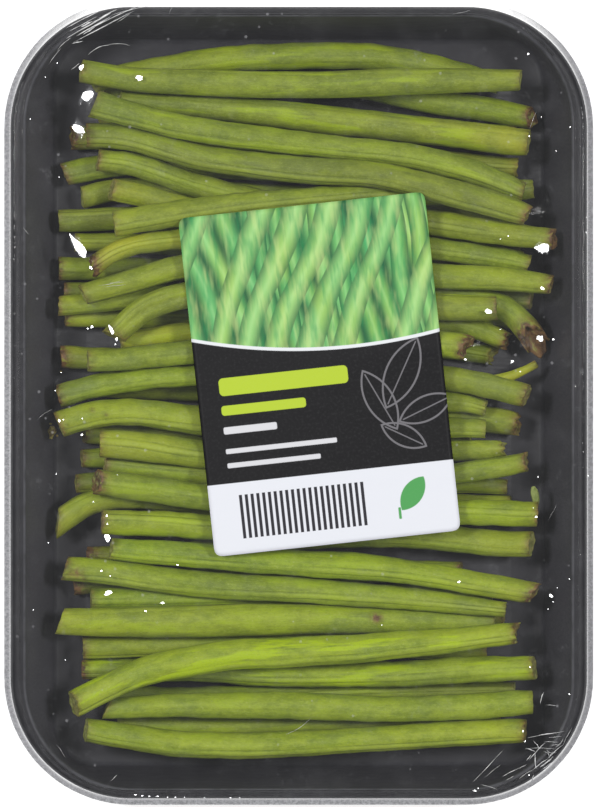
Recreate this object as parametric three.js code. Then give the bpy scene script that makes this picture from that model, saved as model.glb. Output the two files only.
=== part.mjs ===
// A shallow tray of trimmed green beans, wrapped in clear film with a paper label on top.
// Millimetres, +Z up, origin at the middle of the underside. +X is the right of the pack, +Y its far end.
import * as THREE from 'three';

// ---- tray ----
const RIM_Z = 18.6;            // height of the rim
const WALL = 0.7;              // sheet thickness of the tray
const BASE_Z = 0.6;            // underside of the tray floor
const OPENING = { hx: 61.0, hy: 86.4, rc: 24.0 };   // half sizes and corner radius of the opening
const FLOOR = { hx: 56.5, hy: 83.5, rc: 10.0 };     // the same at the foot of the inner wall
const LIP = { hx: 64.9, hy: 89.1, rc: 27.2 };       // outermost edge of the turned-down lip
const LIP_DROP = 3.6;          // how far the lip turns down

// ---- film ----
const FILM_T = 0.3;            // film thickness
const FILM_GAP = 0.3;          // clear space kept to what it lies on
const FILM_OFF = 1.0;          // how far the bunched film stands off the lip's side
const FILM_HOLE = { hx: 27, hy: 46, rc: 14 };       // where the folded ends leave the underside free
const FILM_RINGS = 9;          // rings of points from the rim to the middle
const FILM_REACH = 7.0;        // how far round a bean the film is held up

// ---- label ----
const LABEL = { x: 4.66, y: 6.29, w: 55.4, h: 76.2, turn: 6.2, t: 0.25, r: 1.6 };

// ---- beans ----
const SIDES = 8;               // sides of a bean's section
// name, colour, slant of the left and right cut, then x, y, z and radius along the bean
const BEANS = [
  ['bean_01', 'olive', 0, 0, [[-46.44, 72.61, 9.56, 2.38], [-40.16, 74.3, 9.4, 2.58], [-25.69, 76.84, 9.05, 2.89], [-14.36, 78.25, 8.78, 3], [0.32, 78.87, 8.43, 3.15], [15.03, 78.76, 8.08, 3.13], [23.16, 77.94, 7.88, 3.03], [32.75, 75.85, 7.65, 2.88], [45.44, 72.61, 7.34, 2.3]]],
  ['bean_02', 'olive', 0, 0.12, [[-48.99, 74.73, 15.31, 2.57], [-37.96, 72.89, 15.31, 2.69], [-28.4, 72.3, 15.31, 2.85], [-12.42, 71.74, 15.31, 3.01], [3.56, 71.53, 15.31, 3], [19.53, 72.13, 15.31, 3.06], [35.51, 72.51, 15.31, 2.8], [49.9, 72.63, 15.31, 2.36]]],
  ['bean_03', 'olive', 0, -0.15, [[-44.61, 70.89, 4.25, 2.5], [-33.32, 72.03, 4.6, 2.62], [-18.75, 72.52, 5.05, 2.72], [-4.19, 72.66, 5.49, 2.72], [8.73, 72.38, 5.89, 2.72], [16.75, 71.54, 6.14, 2.72], [30.96, 68.59, 6.59, 2.71], [45.3, 66.42, 7.03, 2.63], [53.19, 64.88, 7.28, 2.39]]],
  ['bean_04', 'olive', 0.15, -0.2, [[-45.97, 67.12, 16.64, 3.24], [-36.76, 64.64, 16.46, 2.86], [-29.07, 62.59, 16.31, 2.83], [-19.67, 60.88, 16.11, 2.9], [-3.83, 58.88, 15.77, 2.83], [12.05, 57.05, 15.43, 2.75], [24.73, 55.6, 15.26, 2.92], [35.64, 53.04, 15.09, 2.92], [43.23, 50.5, 14.98, 2.74], [50.59, 47.32, 14.85, 2.46]]],
  ['bean_05', 'olive', 0, 0.05, [[-40.46, 68.65, 10.51, 2.06], [-25.82, 67.29, 10.82, 2.5], [-11.19, 66.02, 11.13, 2.98], [3.4, 64.4, 11.43, 3.36], [17.97, 62.73, 11.74, 3.25], [32.53, 61.12, 12.04, 3.18], [47.06, 59.27, 12.35, 3.25], [51.91, 58.83, 12.45, 2.96]]],
  ['bean_06', 'olive', 0, 0.15, [[-47.82, 60.41, 12.27, 2.86], [-41.37, 60.25, 12.82, 2.97], [-36.64, 59.42, 13.23, 2.88], [-24.24, 55.76, 14.33, 2.95], [-16.35, 54.38, 15.01, 3], [-0.42, 52.42, 16.37, 3.13], [15.55, 51.27, 17.71, 2.98], [21.91, 50.21, 17.85, 3.01], [35.92, 46.68, 17.79, 3.12], [46.74, 43.6, 17.88, 2.83], [51.31, 42.04, 17.87, 2.35]]],
  ['bean_07', 'olive', 0, 0, [[-51.79, 60.65, 4.63, 2.86], [-35.35, 60.31, 4.61, 2.83], [-18.93, 59.63, 4.58, 2.83], [-2.49, 58.67, 4.58, 2.83], [13.94, 57.49, 4.54, 2.78], [30.31, 55.61, 4.51, 2.61], [45.07, 54.09, 4.48, 2.38], [50, 53.78, 4.47, 2.3]]],
  ['bean_08', 'olive', -0.15, 0, [[-53.43, 52.15, 6.17, 2.79], [-45.64, 53.78, 6.03, 2.81], [-37.73, 54.62, 5.89, 2.75], [-26.59, 54.41, 5.69, 2.75], [-10.68, 53.48, 5.39, 2.75], [5.21, 52.43, 5.05, 2.75], [21.08, 51.05, 4.72, 2.73], [36.96, 49.51, 4.39, 2.63], [46.46, 48.51, 4.15, 2.4]]],
  ['bean_09', 'olive', 0.1, 0.1, [[-45.42, 54.85, 12.05, 2.55], [-38.98, 54.17, 11.78, 2.72], [-32.75, 52.42, 11.51, 2.84], [-23.52, 49.26, 11.12, 2.87], [-10.86, 46.21, 10.57, 2.83], [-1.27, 44.31, 10.25, 2.8], [13.23, 42.16, 10.47, 2.89], [21.25, 41.31, 11.26, 2.97], [29.23, 40.77, 12.13, 3.13], [44.97, 38.36, 13.79, 2.88], [55.96, 36.93, 15.01, 2.54], [57.53, 36.85, 15.22, 2.46]]],
  ['bean_10', 'olive', 0.15, 0, [[-49.46, 46.96, 5.28, 2.53], [-44.69, 48.18, 5.23, 2.54], [-39.87, 48.63, 5.18, 2.57], [-25.38, 48.29, 5.04, 2.68], [-10.93, 47.43, 4.9, 2.73], [3.51, 46.57, 4.76, 2.73], [17.96, 45.57, 4.61, 2.72], [32.42, 44.4, 4.45, 2.64], [46.84, 42.94, 4.3, 2.43], [48.45, 42.74, 4.28, 2.4]]],
  ['bean_11', 'olive', 0, 0, [[-42.32, 48.32, 11.85, 2.52], [-32.81, 46.14, 11.31, 2.61], [-20.25, 42.54, 10.55, 2.66], [-5.9, 39.45, 9.66, 2.69], [8.65, 37.23, 8.9, 2.72], [23.35, 35.86, 8.42, 2.69], [38.02, 34.29, 7.92, 2.54], [47.71, 32.85, 7.57, 2.36], [50.93, 32.27, 7.45, 2.29]]],
  ['bean_12', 'olive', 0, 0, [[-54.67, 41.5, 5.92, 2.62], [-38.45, 42.04, 5.46, 2.68], [-22.22, 42.11, 4.99, 2.7], [-6.01, 41.59, 4.54, 2.71], [10.18, 40.55, 4.46, 2.71], [26.37, 39.42, 4.42, 2.67], [42.52, 38.04, 4.39, 2.54], [50.59, 37.22, 4.36, 2.4]]],
  ['bean_13', 'olive', 0.05, 0, [[-41.42, 40.15, 17.05, 2.96], [-27.14, 42.53, 16.67, 3.13], [-12.78, 44.42, 16.28, 2.94], [0.04, 45.58, 15.93, 2.83], [8.06, 46.19, 15.17, 2.81], [19.26, 46.92, 13.26, 2.78], [33.8, 47.27, 11, 2.65], [46.78, 48.08, 9.1, 2.42], [53.31, 48.66, 7.94, 2.3]]],
  ['bean_14', 'green', 0, 0, [[-51.15, 36.66, 4.19, 2.15], [-39.74, 36.56, 4.24, 2.28], [-23.47, 35.63, 4.32, 2.54], [-7.19, 34.83, 4.37, 2.62], [9.08, 33.69, 4.37, 2.62], [25.35, 32.13, 4.33, 2.58], [41.58, 30.19, 4.26, 2.43], [49.68, 29.02, 4.23, 2.29]]],
  ['bean_15', 'green', 0.35, 0.1, [[-46.55, 30.46, 14.45, 2.32], [-42.63, 33.29, 14.47, 2.32], [-39.74, 34.67, 14.49, 2.35], [-35.08, 35.92, 14.51, 2.4], [-25.45, 37.04, 14.56, 2.47], [-10.92, 37.71, 14.62, 2.5], [2.01, 37.4, 14.58, 2.57], [14.93, 36.68, 14.15, 2.6], [31.03, 34.56, 13.51, 2.63], [45.52, 32.58, 12.89, 2.48], [51.91, 31.31, 12.61, 2.29]]],
  ['bean_16', 'green', 0, 0, [[-54.7, 30.63, 5.61, 2.75], [-38.33, 30.58, 5.37, 2.71], [-21.94, 30.16, 5.13, 2.71], [-5.55, 29.28, 4.89, 2.71], [10.83, 28.09, 4.63, 2.71], [27.17, 26.63, 4.41, 2.61], [43.48, 24.89, 4.21, 2.46], [53.22, 23.52, 4.1, 2.26]]],
  ['bean_17', 'green', -0.2, 0.1, [[-48.65, 24.41, 13.97, 2.37], [-36.18, 27.85, 14.1, 2.66], [-28.44, 30.16, 14.2, 2.76], [-18.87, 31.83, 14.32, 2.78], [-12.4, 32.28, 14.4, 2.76], [3.8, 31.8, 14.61, 2.8], [15.09, 30.87, 14.77, 2.82], [29.49, 28.68, 14.98, 2.91], [45.63, 27.78, 15.22, 2.71], [56.89, 26.67, 15.38, 2.2]]],
  ['bean_18', 'green', 0, 0, [[-53.56, 25.51, 4.32, 2.14], [-37.31, 25.26, 4.35, 2.48], [-21.07, 24.67, 4.37, 2.62], [-4.83, 23.72, 4.37, 2.62], [11.39, 22.55, 4.37, 2.62], [27.6, 21.15, 4.37, 2.61], [43.8, 19.62, 4.37, 2.45], [50.29, 19.08, 4.36, 2.27]]],
  ['bean_19', 'green', 0.1, 0, [[-54.4, 22.07, 9.43, 2.3], [-38.17, 23.48, 9.57, 2.51], [-21.97, 25.26, 9.69, 2.62], [-4.08, 26.09, 9.77, 2.69], [13.83, 26.05, 9.87, 2.73], [28.47, 25.6, 9.84, 2.74], [38.19, 24.48, 9.8, 2.76], [42.91, 23.32, 9.79, 2.81], [45.85, 22.01, 9.77, 2.91], [48.49, 20.18, 9.77, 2.97], [51.79, 16.66, 9.76, 3.1], [53.58, 13.96, 9.75, 3.05]]],
  ['bean_20', 'green', 0, 0, [[-53.13, 19.36, 5.49, 2.03], [-38.41, 19.09, 5.11, 2.27], [-23.68, 18.68, 4.74, 2.44], [-8.96, 18.07, 4.28, 2.51], [-0.76, 17.47, 4.28, 2.53], [13.78, 15.32, 4.29, 2.53], [28.32, 13.2, 4.29, 2.51], [42.84, 10.97, 4.29, 2.37], [44.45, 10.68, 4.29, 2.35]]],
  ['bean_21', 'green', -0.35, 0, [[-41.51, 14.91, 16.41, 2.73], [-38.24, 18.23, 16.27, 2.85], [-35.78, 20.25, 16.25, 2.91], [-33.04, 21.82, 16.2, 2.96], [-28.58, 23.42, 16.12, 2.99], [-22.33, 24.56, 16.05, 2.98], [-12.78, 25.24, 15.91, 2.89], [-3.23, 25, 15.79, 2.9], [11.09, 23.74, 15.6, 2.94], [25.36, 22, 15.42, 3.02], [34.91, 21.32, 15.3, 3.02], [44.48, 21.44, 15.23, 2.6]]],
  ['bean_22', 'green', 0, 0, [[-40.31, 13.79, 10.67, 2.14], [-32.3, 14.79, 10.08, 2.37], [-25.9, 15.75, 9.6, 2.47], [-17.85, 15.73, 8.99, 2.49], [-8.24, 14.88, 8.27, 2.49], [4.46, 12.61, 7.26, 2.49], [12.36, 10.63, 7.02, 2.47], [26.39, 6.69, 7.82, 2.3], [32.65, 5.01, 8.15, 2.12], [37.39, 4.43, 8.4, 1.93], [42.16, 4.56, 8.64, 1.6], [46.78, 5.52, 8.9, 1.24], [51.14, 7.38, 9.16, 0.96], [53.93, 8.86, 9.32, 0.86]]],
  ['bean_23', 'green', -0.15, 0.1, [[-54.3, 10.39, 4.86, 2.66], [-42.84, 9.95, 6, 2.72], [-26.55, 10.12, 7.63, 2.72], [-13.57, 9.92, 8.88, 2.74], [2.59, 8.91, 10.96, 2.77], [15.42, 8.37, 12.39, 2.78], [24.95, 7.08, 13.02, 2.78], [40.57, 4.16, 14.2, 2.86], [51.33, 1.61, 14.98, 2.73]]],
  ['bean_24', 'green', 0, 0, [[-47.49, 9.51, 14.82, 2.6], [-41.01, 9.73, 14.57, 2.64], [-26.49, 11.24, 14.14, 2.85], [-15.21, 12.63, 13.81, 2.86], [-2.31, 14.5, 13.18, 2.81], [8.9, 16.32, 11.9, 2.79], [20.2, 17.82, 10.76, 2.71], [29.98, 18.39, 9.77, 2.59], [34.84, 18, 9.29, 2.54], [41.2, 16.32, 8.63, 2.47], [47.36, 14.02, 7.96, 2.2]]],
  ['bean_25', 'green', 0.05, 0.1, [[-54.33, 1.45, 9.74, 2.73], [-44.94, 3.95, 10.87, 2.73], [-35.34, 5.27, 12.01, 2.57], [-20.91, 6.37, 13.71, 2.43], [-6.61, 8.2, 15.39, 2.62], [4.44, 9.89, 16.74, 2.78], [13.95, 11.45, 17.22, 2.89], [26.66, 13.04, 17.75, 3.12], [31.43, 13.2, 17.76, 3.18], [36.17, 12.67, 17.92, 3.01], [37.75, 12.31, 17.99, 2.91]]],
  ['bean_26', 'green', -0.1, 0, [[-54.14, -4.98, 12.95, 3], [-47.96, -3.06, 12.83, 3.09], [-43.19, -2.3, 12.73, 3.09], [-36.72, -2.26, 12.61, 3.12], [-27.06, -3.42, 12.42, 3.34], [-20.65, -4.13, 12.29, 3.44], [-6.04, -4, 12.01, 3.21], [3.67, -3.55, 11.82, 3.06], [14.91, -1.74, 11.6, 2.88], [26.2, -0.1, 11.38, 2.68], [32.68, 0.32, 11.26, 2.59], [37.49, -0.12, 11.17, 2.36], [42.25, -1.35, 11.09, 1.97]]],
  ['bean_27', 'green', 0, 0, [[-48.99, -7.22, 3.97, 2.12], [-39.19, -7.47, 4.25, 2.44], [-24.52, -6.97, 4.67, 2.52], [-9.88, -6.24, 5.09, 2.58], [4.72, -5.28, 5.51, 2.64], [19.3, -4.12, 5.93, 2.72], [33.89, -3.38, 6.36, 2.84], [43.61, -3.95, 6.64, 3.02], [50.03, -4.91, 6.82, 2.61]]],
  ['bean_28', 'green', 0, 0, [[-44.75, -9.31, 14.43, 3.27], [-36.7, -9.72, 14.17, 3.45], [-23.89, -11.43, 13.75, 3.37], [-17.46, -11.62, 13.54, 3.3], [-4.51, -10.9, 13.12, 3.02], [6.74, -9.68, 12.75, 2.83], [19.56, -7.48, 12.27, 2.61], [30.85, -5.91, 11.86, 2.48], [38.97, -5.76, 11.57, 2.27], [42.23, -5.91, 11.46, 2.15]]],
  ['bean_29', 'green', 0, 0, [[-49.51, -12.66, 5.18, 2.17], [-41.29, -12.48, 5.09, 2.5], [-28.12, -12.59, 4.94, 2.61], [-14.96, -12.54, 4.79, 2.62], [-1.8, -11.95, 4.63, 2.62], [11.32, -10.99, 4.47, 2.6], [24.43, -9.84, 4.32, 2.53], [37.57, -8.93, 4.16, 2.36], [39.21, -8.82, 4.14, 2.33]]],
  ['bean_30', 'green', 0, 0, [[-43.93, -13.87, 9.59, 2.13], [-29.44, -15.79, 9.72, 2.54], [-21.35, -16.38, 9.79, 2.62], [-8.38, -15.97, 9.91, 2.61], [6.15, -14.69, 10.06, 2.6], [20.57, -12.44, 10.27, 2.53], [33.44, -11.05, 10.45, 2.4], [43.13, -10.65, 10.59, 2.18], [46.36, -10.42, 10.63, 1.88]]],
  ['bean_31', 'green', 0, 0, [[-50.9, -18.52, 4.22, 2.22], [-39.58, -17.93, 4.24, 2.41], [-25.03, -17.85, 4.28, 2.53], [-10.49, -17.82, 4.28, 2.53], [4.06, -17.85, 4.28, 2.53], [18.61, -17.82, 4.19, 2.44], [33.11, -18.33, 4.09, 2.22], [47.61, -19.15, 3.99, 1.66]]],
  ['bean_32', 'green', 0, 0.12, [[-45.69, -17.87, 14.08, 2.95], [-32.98, -19.58, 13.89, 3.18], [-21.88, -21.3, 13.73, 3.09], [-12.29, -21.35, 13.59, 2.99], [2.15, -20.67, 13.38, 2.79], [14.9, -19.09, 13.19, 2.62], [29.23, -17.03, 12.98, 2.42], [43.54, -14.84, 12.77, 2.37], [51.45, -13.37, 12.65, 2.19]]],
  ['bean_33', 'green', 0.75, 0, [[-54.84, -27.43, 8.53, 2.88], [-49.4, -23.89, 8.25, 2.8], [-46.46, -22.56, 8.11, 2.7], [-43.37, -21.82, 7.96, 2.6], [-36.88, -21.64, 7.68, 2.54], [-28.72, -22.21, 7.32, 2.53], [-17.31, -23.47, 6.81, 2.53], [-0.92, -24.29, 6.09, 2.53], [15.51, -23.86, 5.37, 2.51], [31.97, -23.25, 4.66, 2.46], [46.82, -23.39, 4.01, 2.24], [48.47, -23.45, 3.95, 2.2]]],
  ['bean_34', 'bright', 0, 0.08, [[-44.46, -27.06, 12.03, 2.91], [-31.53, -27.4, 12.19, 3.05], [-20.25, -28.21, 12.34, 3.05], [-7.33, -27.74, 12.5, 2.97], [7.17, -26.63, 12.68, 2.94], [21.64, -25.22, 12.84, 2.94], [36.16, -24.72, 12.88, 3.04], [50.69, -25.15, 12.94, 3.04], [53.92, -25.11, 12.95, 2.91]]],
  ['bean_35', 'bright', 0, 0.1, [[-48.42, -34.85, 3.89, 2.12], [-36.86, -34.94, 4.74, 2.36], [-23.72, -33.98, 5.72, 2.58], [-7.43, -31.79, 6.94, 2.77], [5.6, -30.53, 7.92, 2.86], [21.92, -30.04, 9.16, 2.98], [30.02, -30.51, 9.86, 3.03], [44.55, -31.84, 11.08, 3.05], [52.64, -31.96, 11.77, 2.91]]],
  ['bean_36', 'bright', 0.1, 0.5, [[-42.32, -32.97, 13.49, 2.42], [-31.14, -33.88, 13.45, 2.85], [-16.78, -35.05, 13.39, 2.93], [-2.4, -36.14, 13.34, 2.99], [12, -36.94, 13.3, 3.22], [24.75, -38.21, 13.25, 2.84], [38.97, -40.67, 13.21, 2.79], [50.05, -42.46, 13.17, 2.65], [53.22, -42.91, 13.16, 2.42]]],
  ['bean_37', 'bright', 0.25, 0, [[-52.86, -37.5, 12.13, 2.73], [-43.2, -38.22, 12.25, 2.9], [-30.44, -40.17, 12.39, 3.02], [-14.36, -41.58, 12.55, 3.05], [1.74, -42.5, 12.69, 2.94], [17.82, -43.71, 12.81, 2.78], [33.86, -45.27, 12.94, 2.39], [46.66, -46.78, 13.04, 1.79]]],
  ['bean_38', 'bright', 0, 0, [[-47.15, -44.53, 9.07, 2.61], [-32.51, -44.48, 8.28, 2.74], [-17.83, -44.33, 7.49, 2.67], [-3.13, -44.22, 6.67, 2.65], [11.59, -43.97, 5.81, 2.62], [26.33, -43.84, 4.94, 2.49], [41.11, -43.88, 4.06, 2.19], [44.39, -43.91, 3.87, 2.09]]],
  ['bean_39', 'bright', 0, 0, [[-51.4, -41.89, 4.36, 2.22], [-41.61, -40.99, 4.37, 2.54], [-28.52, -40.4, 4.37, 2.62], [-15.43, -39.81, 4.37, 2.62], [-2.31, -39.31, 4.37, 2.62], [10.81, -38.83, 4.37, 2.62], [23.93, -38.53, 4.37, 2.62], [37.06, -38.86, 4.37, 2.41]]],
  ['bean_40', 'bright', 0.35, 0.1, [[-53.94, -49.41, 12.76, 3], [-39.48, -49.65, 12.3, 3.44], [-25.01, -49.53, 11.81, 3.65], [-10.52, -49.22, 11.33, 3.72], [3.99, -49.13, 10.81, 3.33], [18.52, -49.31, 10.29, 3.03], [33.07, -49.58, 9.77, 2.72], [44.4, -49.97, 9.37, 2.32]]],
  ['bean_41', 'bright', 0, 0, [[-49.13, -55.85, 6.84, 2.52], [-34.64, -55.41, 6.41, 2.65], [-20.14, -54.8, 5.97, 2.67], [-7.23, -54.55, 5.59, 2.7], [7.32, -54.7, 5.15, 2.7], [20.24, -55.29, 4.75, 2.68], [34.79, -56.23, 4.31, 2.54], [42.89, -56.41, 4.06, 2.31]]],
  ['bean_42', 'bright', 0.15, 0.1, [[-50.6, -67.99, 14.93, 3.09], [-40.51, -62.9, 14.85, 3.06], [-34.49, -60.57, 14.81, 3.27], [-26.65, -58.62, 14.75, 3.44], [-15.45, -57.01, 14.67, 3.44], [-0.92, -56.2, 14.57, 3.44], [15.24, -55.34, 14.46, 3.29], [31.36, -53.87, 14.35, 2.96], [47.46, -52.19, 14.24, 2.55], [49.07, -52.01, 14.23, 2.46]]],
  ['bean_43', 'bright', 0, -0.12, [[-49.29, -60.98, 4.53, 2.37], [-32.84, -60.87, 5.81, 2.58], [-21.38, -61.09, 6.71, 2.71], [-8.32, -61.8, 7.74, 2.84], [7.98, -61.94, 9.02, 2.9], [24.21, -61.43, 10.3, 3.06], [40.37, -60.46, 11.58, 3.11], [53.26, -59.95, 12.61, 2.74]]],
  ['bean_44', 'bright', 0, 0, [[-43.35, -66.51, 4.19, 2.31], [-28.72, -67.31, 4.24, 2.45], [-14.1, -67.25, 4.29, 2.54], [0.53, -66.72, 4.33, 2.58], [15.16, -66.3, 4.32, 2.57], [29.79, -66.02, 4.29, 2.51], [44.43, -65.97, 4.26, 2.28], [49.31, -66.05, 4.25, 2.16]]],
  ['bean_45', 'bright', 0.45, 0.05, [[-43.59, -69.26, 11.35, 2.38], [-30.73, -68.63, 11.49, 2.74], [-16.24, -68.5, 11.64, 3.06], [-1.76, -68.6, 11.79, 3.22], [12.7, -69.12, 11.94, 3.03], [25.56, -69.33, 12.07, 2.92], [40, -68.6, 12.22, 3.03], [49.62, -67.99, 12.32, 2.91], [52.83, -67.78, 12.35, 2.69]]],
  ['bean_46', 'bright', 0, 0, [[-41.51, -73.16, 4.23, 2.29], [-28.53, -73.95, 4.27, 2.44], [-15.55, -73.95, 4.31, 2.54], [-2.56, -73.48, 4.36, 2.61], [10.42, -72.92, 4.34, 2.59], [23.39, -72.2, 4.32, 2.57], [36.35, -71.36, 4.3, 2.49], [46.09, -71.08, 4.29, 2.27]]],
  ['bean_47', 'bright', -0.1, 0.05, [[-48.11, -73.98, 11.69, 2.78], [-32.25, -76.65, 11.68, 3.03], [-22.63, -77.46, 11.68, 3.05], [-6.54, -77.53, 11.67, 3.08], [7.91, -76.67, 11.66, 2.92], [23.98, -75.74, 11.65, 2.92], [40.04, -74.69, 11.64, 2.94], [51.29, -74.34, 11.63, 2.69]]],
  ['bean_48', 'green', 0, 0, [[-45.66, 65.87, 4.3, 2.4], [-30.84, 65.91, 4.36, 2.57], [-17.69, 65.76, 4.41, 2.65], [-2.93, 64.48, 4.46, 2.71], [11.84, 63.29, 4.46, 2.71], [26.59, 62.23, 4.46, 2.7], [41.37, 61.44, 4.46, 2.54], [49.59, 61.1, 4.46, 2.4]]],
  ['bean_49', 'green', 0, 0, [[-46.58, 3.68, 4.2, 2.32], [-32.25, 3.02, 4.26, 2.47], [-17.91, 2.7, 4.32, 2.56], [-3.58, 2.74, 4.37, 2.62], [10.74, 3.07, 4.35, 2.6], [23.47, 3.16, 4.28, 2.53], [32.99, 2.4, 4.22, 2.44], [42.52, 1.05, 4.12, 2.32]]],
  ['bean_50', 'green', 0, 0, [[-46.51, -48.64, 4.21, 2.32], [-32.01, -49.07, 4.26, 2.47], [-17.53, -49.33, 4.32, 2.57], [-3.05, -49.25, 4.37, 2.62], [11.42, -49.15, 4.35, 2.6], [25.89, -48.95, 4.28, 2.52], [40.36, -48.58, 4.22, 2.39], [46.78, -48.37, 4.19, 2.32]]],
];

const COLOURS = {
  tray: { color: 0x2f3036, roughness: 0.38, metalness: 0 },
  film: { color: 0xf2f5f4, roughness: 0.08, metalness: 0, transparent: true, opacity: 0.16 },
  label: { color: 0x5f9a55, roughness: 0.5, metalness: 0 },
  olive: { color: 0x76843a, roughness: 0.5, metalness: 0 },
  green: { color: 0x7f9636, roughness: 0.5, metalness: 0 },
  bright: { color: 0x8aa832, roughness: 0.5, metalness: 0 },
};

const group = new THREE.Group();
group.name = 'green_bean_bundle';

function add(name, points, faces, look) {
  const g = new THREE.BufferGeometry();
  g.setAttribute('position', new THREE.Float32BufferAttribute(points.flat(), 3));
  g.setIndex(faces.flat());
  g.computeVertexNormals();
  const m = new THREE.Mesh(g, new THREE.MeshStandardMaterial(COLOURS[look]));
  m.name = name;
  group.add(m);
}

// Points round a rectangle with rounded corners, counter-clockwise seen from above, starting at
// the lower end of the right side. nc segments in a corner, nx and ny along the sides.
function outline({ hx, hy, rc }, nc, nx, ny) {
  const pts = [];
  const corner = (cx, cy, a0) => {
    for (let i = 0; i <= nc; i++) {
      const a = a0 + (Math.PI / 2) * (i / nc);
      pts.push([cx + rc * Math.cos(a), cy + rc * Math.sin(a)]);
    }
  };
  const side = (ax, ay, bx, by, n) => {
    for (let i = 1; i < n; i++) pts.push([ax + (bx - ax) * i / n, ay + (by - ay) * i / n]);
  };
  const ix = hx - rc, iy = hy - rc;
  side(hx, -iy, hx, iy, ny);
  corner(ix, iy, 0);
  side(ix, hy, -ix, hy, nx);
  corner(-ix, iy, Math.PI / 2);
  side(-hx, iy, -hx, -iy, ny);
  corner(-ix, -iy, Math.PI);
  side(-ix, -hy, ix, -hy, nx);
  corner(ix, -iy, 1.5 * Math.PI);
  return pts;
}

// Faces between ring a and ring b of m points each, first indices ia and ib.
function band(faces, ia, ib, m) {
  for (let k = 0; k < m; k++) {
    const n = (k + 1) % m;
    faces.push([ia + k, ia + n, ib + n], [ia + k, ib + n, ib + k]);
  }
}

// ---- tray: one skin from the middle of the underside, over the lip, to the middle of the floor ----
{
  const NC = 10, NX = 1, NY = 1;
  const o = OPENING, f = FLOOR, l = LIP;
  const grown = (r, d) => ({ hx: r.hx + d, hy: r.hy + d, rc: Math.max(1, r.rc + d) });
  const mix = (a, b, t) => ({ hx: a.hx + (b.hx - a.hx) * t, hy: a.hy + (b.hy - a.hy) * t, rc: a.rc + (b.rc - a.rc) * t });
  const top = grown(o, 0.5);
  const skin = [
    [grown(f, -9), BASE_Z + 0.3], [grown(f, -8), BASE_Z], [grown(f, -1.2), BASE_Z],
    [grown(f, 0.2), BASE_Z + 0.6], [grown(f, 0.72), BASE_Z + 2.2],
    [mix(grown(f, 0.75), grown(o, 0.72), 0.55), 10.0], [grown(o, 0.75), RIM_Z - 2.0],
    [grown(o, 1.2), RIM_Z - 1.0], [grown(o, 2.0), RIM_Z - WALL],
    [grown(l, -2.0), RIM_Z - WALL], [grown(l, -1.05), RIM_Z - 1.5], [grown(l, -0.78), RIM_Z - 2.4],
    [grown(l, -0.7), RIM_Z - LIP_DROP], [l, RIM_Z - LIP_DROP], [grown(l, -0.08), RIM_Z - 2.2],
    [grown(l, -0.5), RIM_Z - 0.95], [grown(l, -1.15), RIM_Z - 0.28], [grown(l, -1.9), RIM_Z],
    [grown(top, 0.45), RIM_Z], [grown(o, 0.42), RIM_Z - 0.3], [o, RIM_Z - 1.3],
    [mix(f, o, 0.55), 10.0], [f, BASE_Z + 2.4], [grown(f, -0.4), BASE_Z + 1.2],
    [grown(f, -1.2), BASE_Z + WALL], [grown(f, -7.6), BASE_Z + WALL], [grown(f, -8.6), BASE_Z + WALL + 0.3],
  ];
  const points = [], faces = [];
  let m = 0;
  for (const [r, z] of skin) {
    const ring = outline(r, NC, NX, NY);
    m = ring.length;
    for (const [x, y] of ring) points.push([x, y, z]);
  }
  for (let s = 0; s + 1 < skin.length; s++) band(faces, s * m, (s + 1) * m, m);
  const c0 = points.push([0, 0, skin[0][1]]) - 1;
  const c1 = points.push([0, 0, skin[skin.length - 1][1]]) - 1;
  const last = (skin.length - 1) * m;
  for (let k = 0; k < m; k++) {
    const n = (k + 1) % m;
    faces.push([c0, n, k], [c1, last + k, last + n]);
  }
  add('tray', points, faces, 'tray');
}

// ---- beans ----
const samples = [];            // x, y, z, radius, closely along every bean
for (const [name, look, s0, s1, line] of BEANS) {
  const points = [], faces = [], n = line.length;
  for (let k = 0; k < n; k++) {
    const a = line[Math.max(0, k - 1)], b = line[Math.min(n - 1, k + 1)];
    const t = new THREE.Vector3(b[0] - a[0], b[1] - a[1], b[2] - a[2]).normalize();
    const u = new THREE.Vector3(0, 0, 1).cross(t).normalize();
    const w = t.clone().cross(u);
    const s = k === 0 ? s0 : k === n - 1 ? s1 : 0;
    for (let i = 0; i < SIDES; i++) {
      const c = Math.cos(2 * Math.PI * i / SIDES), d = Math.sin(2 * Math.PI * i / SIDES), r = line[k][3];
      points.push([
        line[k][0] + r * (u.x * c + w.x * d + t.x * s * c),
        line[k][1] + r * (u.y * c + w.y * d + t.y * s * c),
        line[k][2] + r * (u.z * c + w.z * d + t.z * s * c),
      ]);
    }
    if (k + 1 < n) {
      band(faces, k * SIDES, (k + 1) * SIDES, SIDES);
      for (let q = 0; q < 6; q++) samples.push(line[k].map((v, i) => v + (line[k + 1][i] - v) * q / 6));
    } else samples.push(line[k]);
  }
  for (let i = 1; i + 1 < SIDES; i++) {
    faces.push([0, i + 1, i]);
    const e = (n - 1) * SIDES;
    faces.push([e, e + i, e + i + 1]);
  }
  add(name, points, faces, look);
}

// Height of the highest bean within reach of a point, or 0.
function highest(x, y, reach) {
  let h = 0;
  for (const [sx, sy, sz, r] of samples) {
    const d = Math.max(0, Math.hypot(sx - x, sy - y) - reach);
    if (d < r) h = Math.max(h, sz + Math.sqrt(r * r - d * d));
  }
  return h;
}

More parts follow.
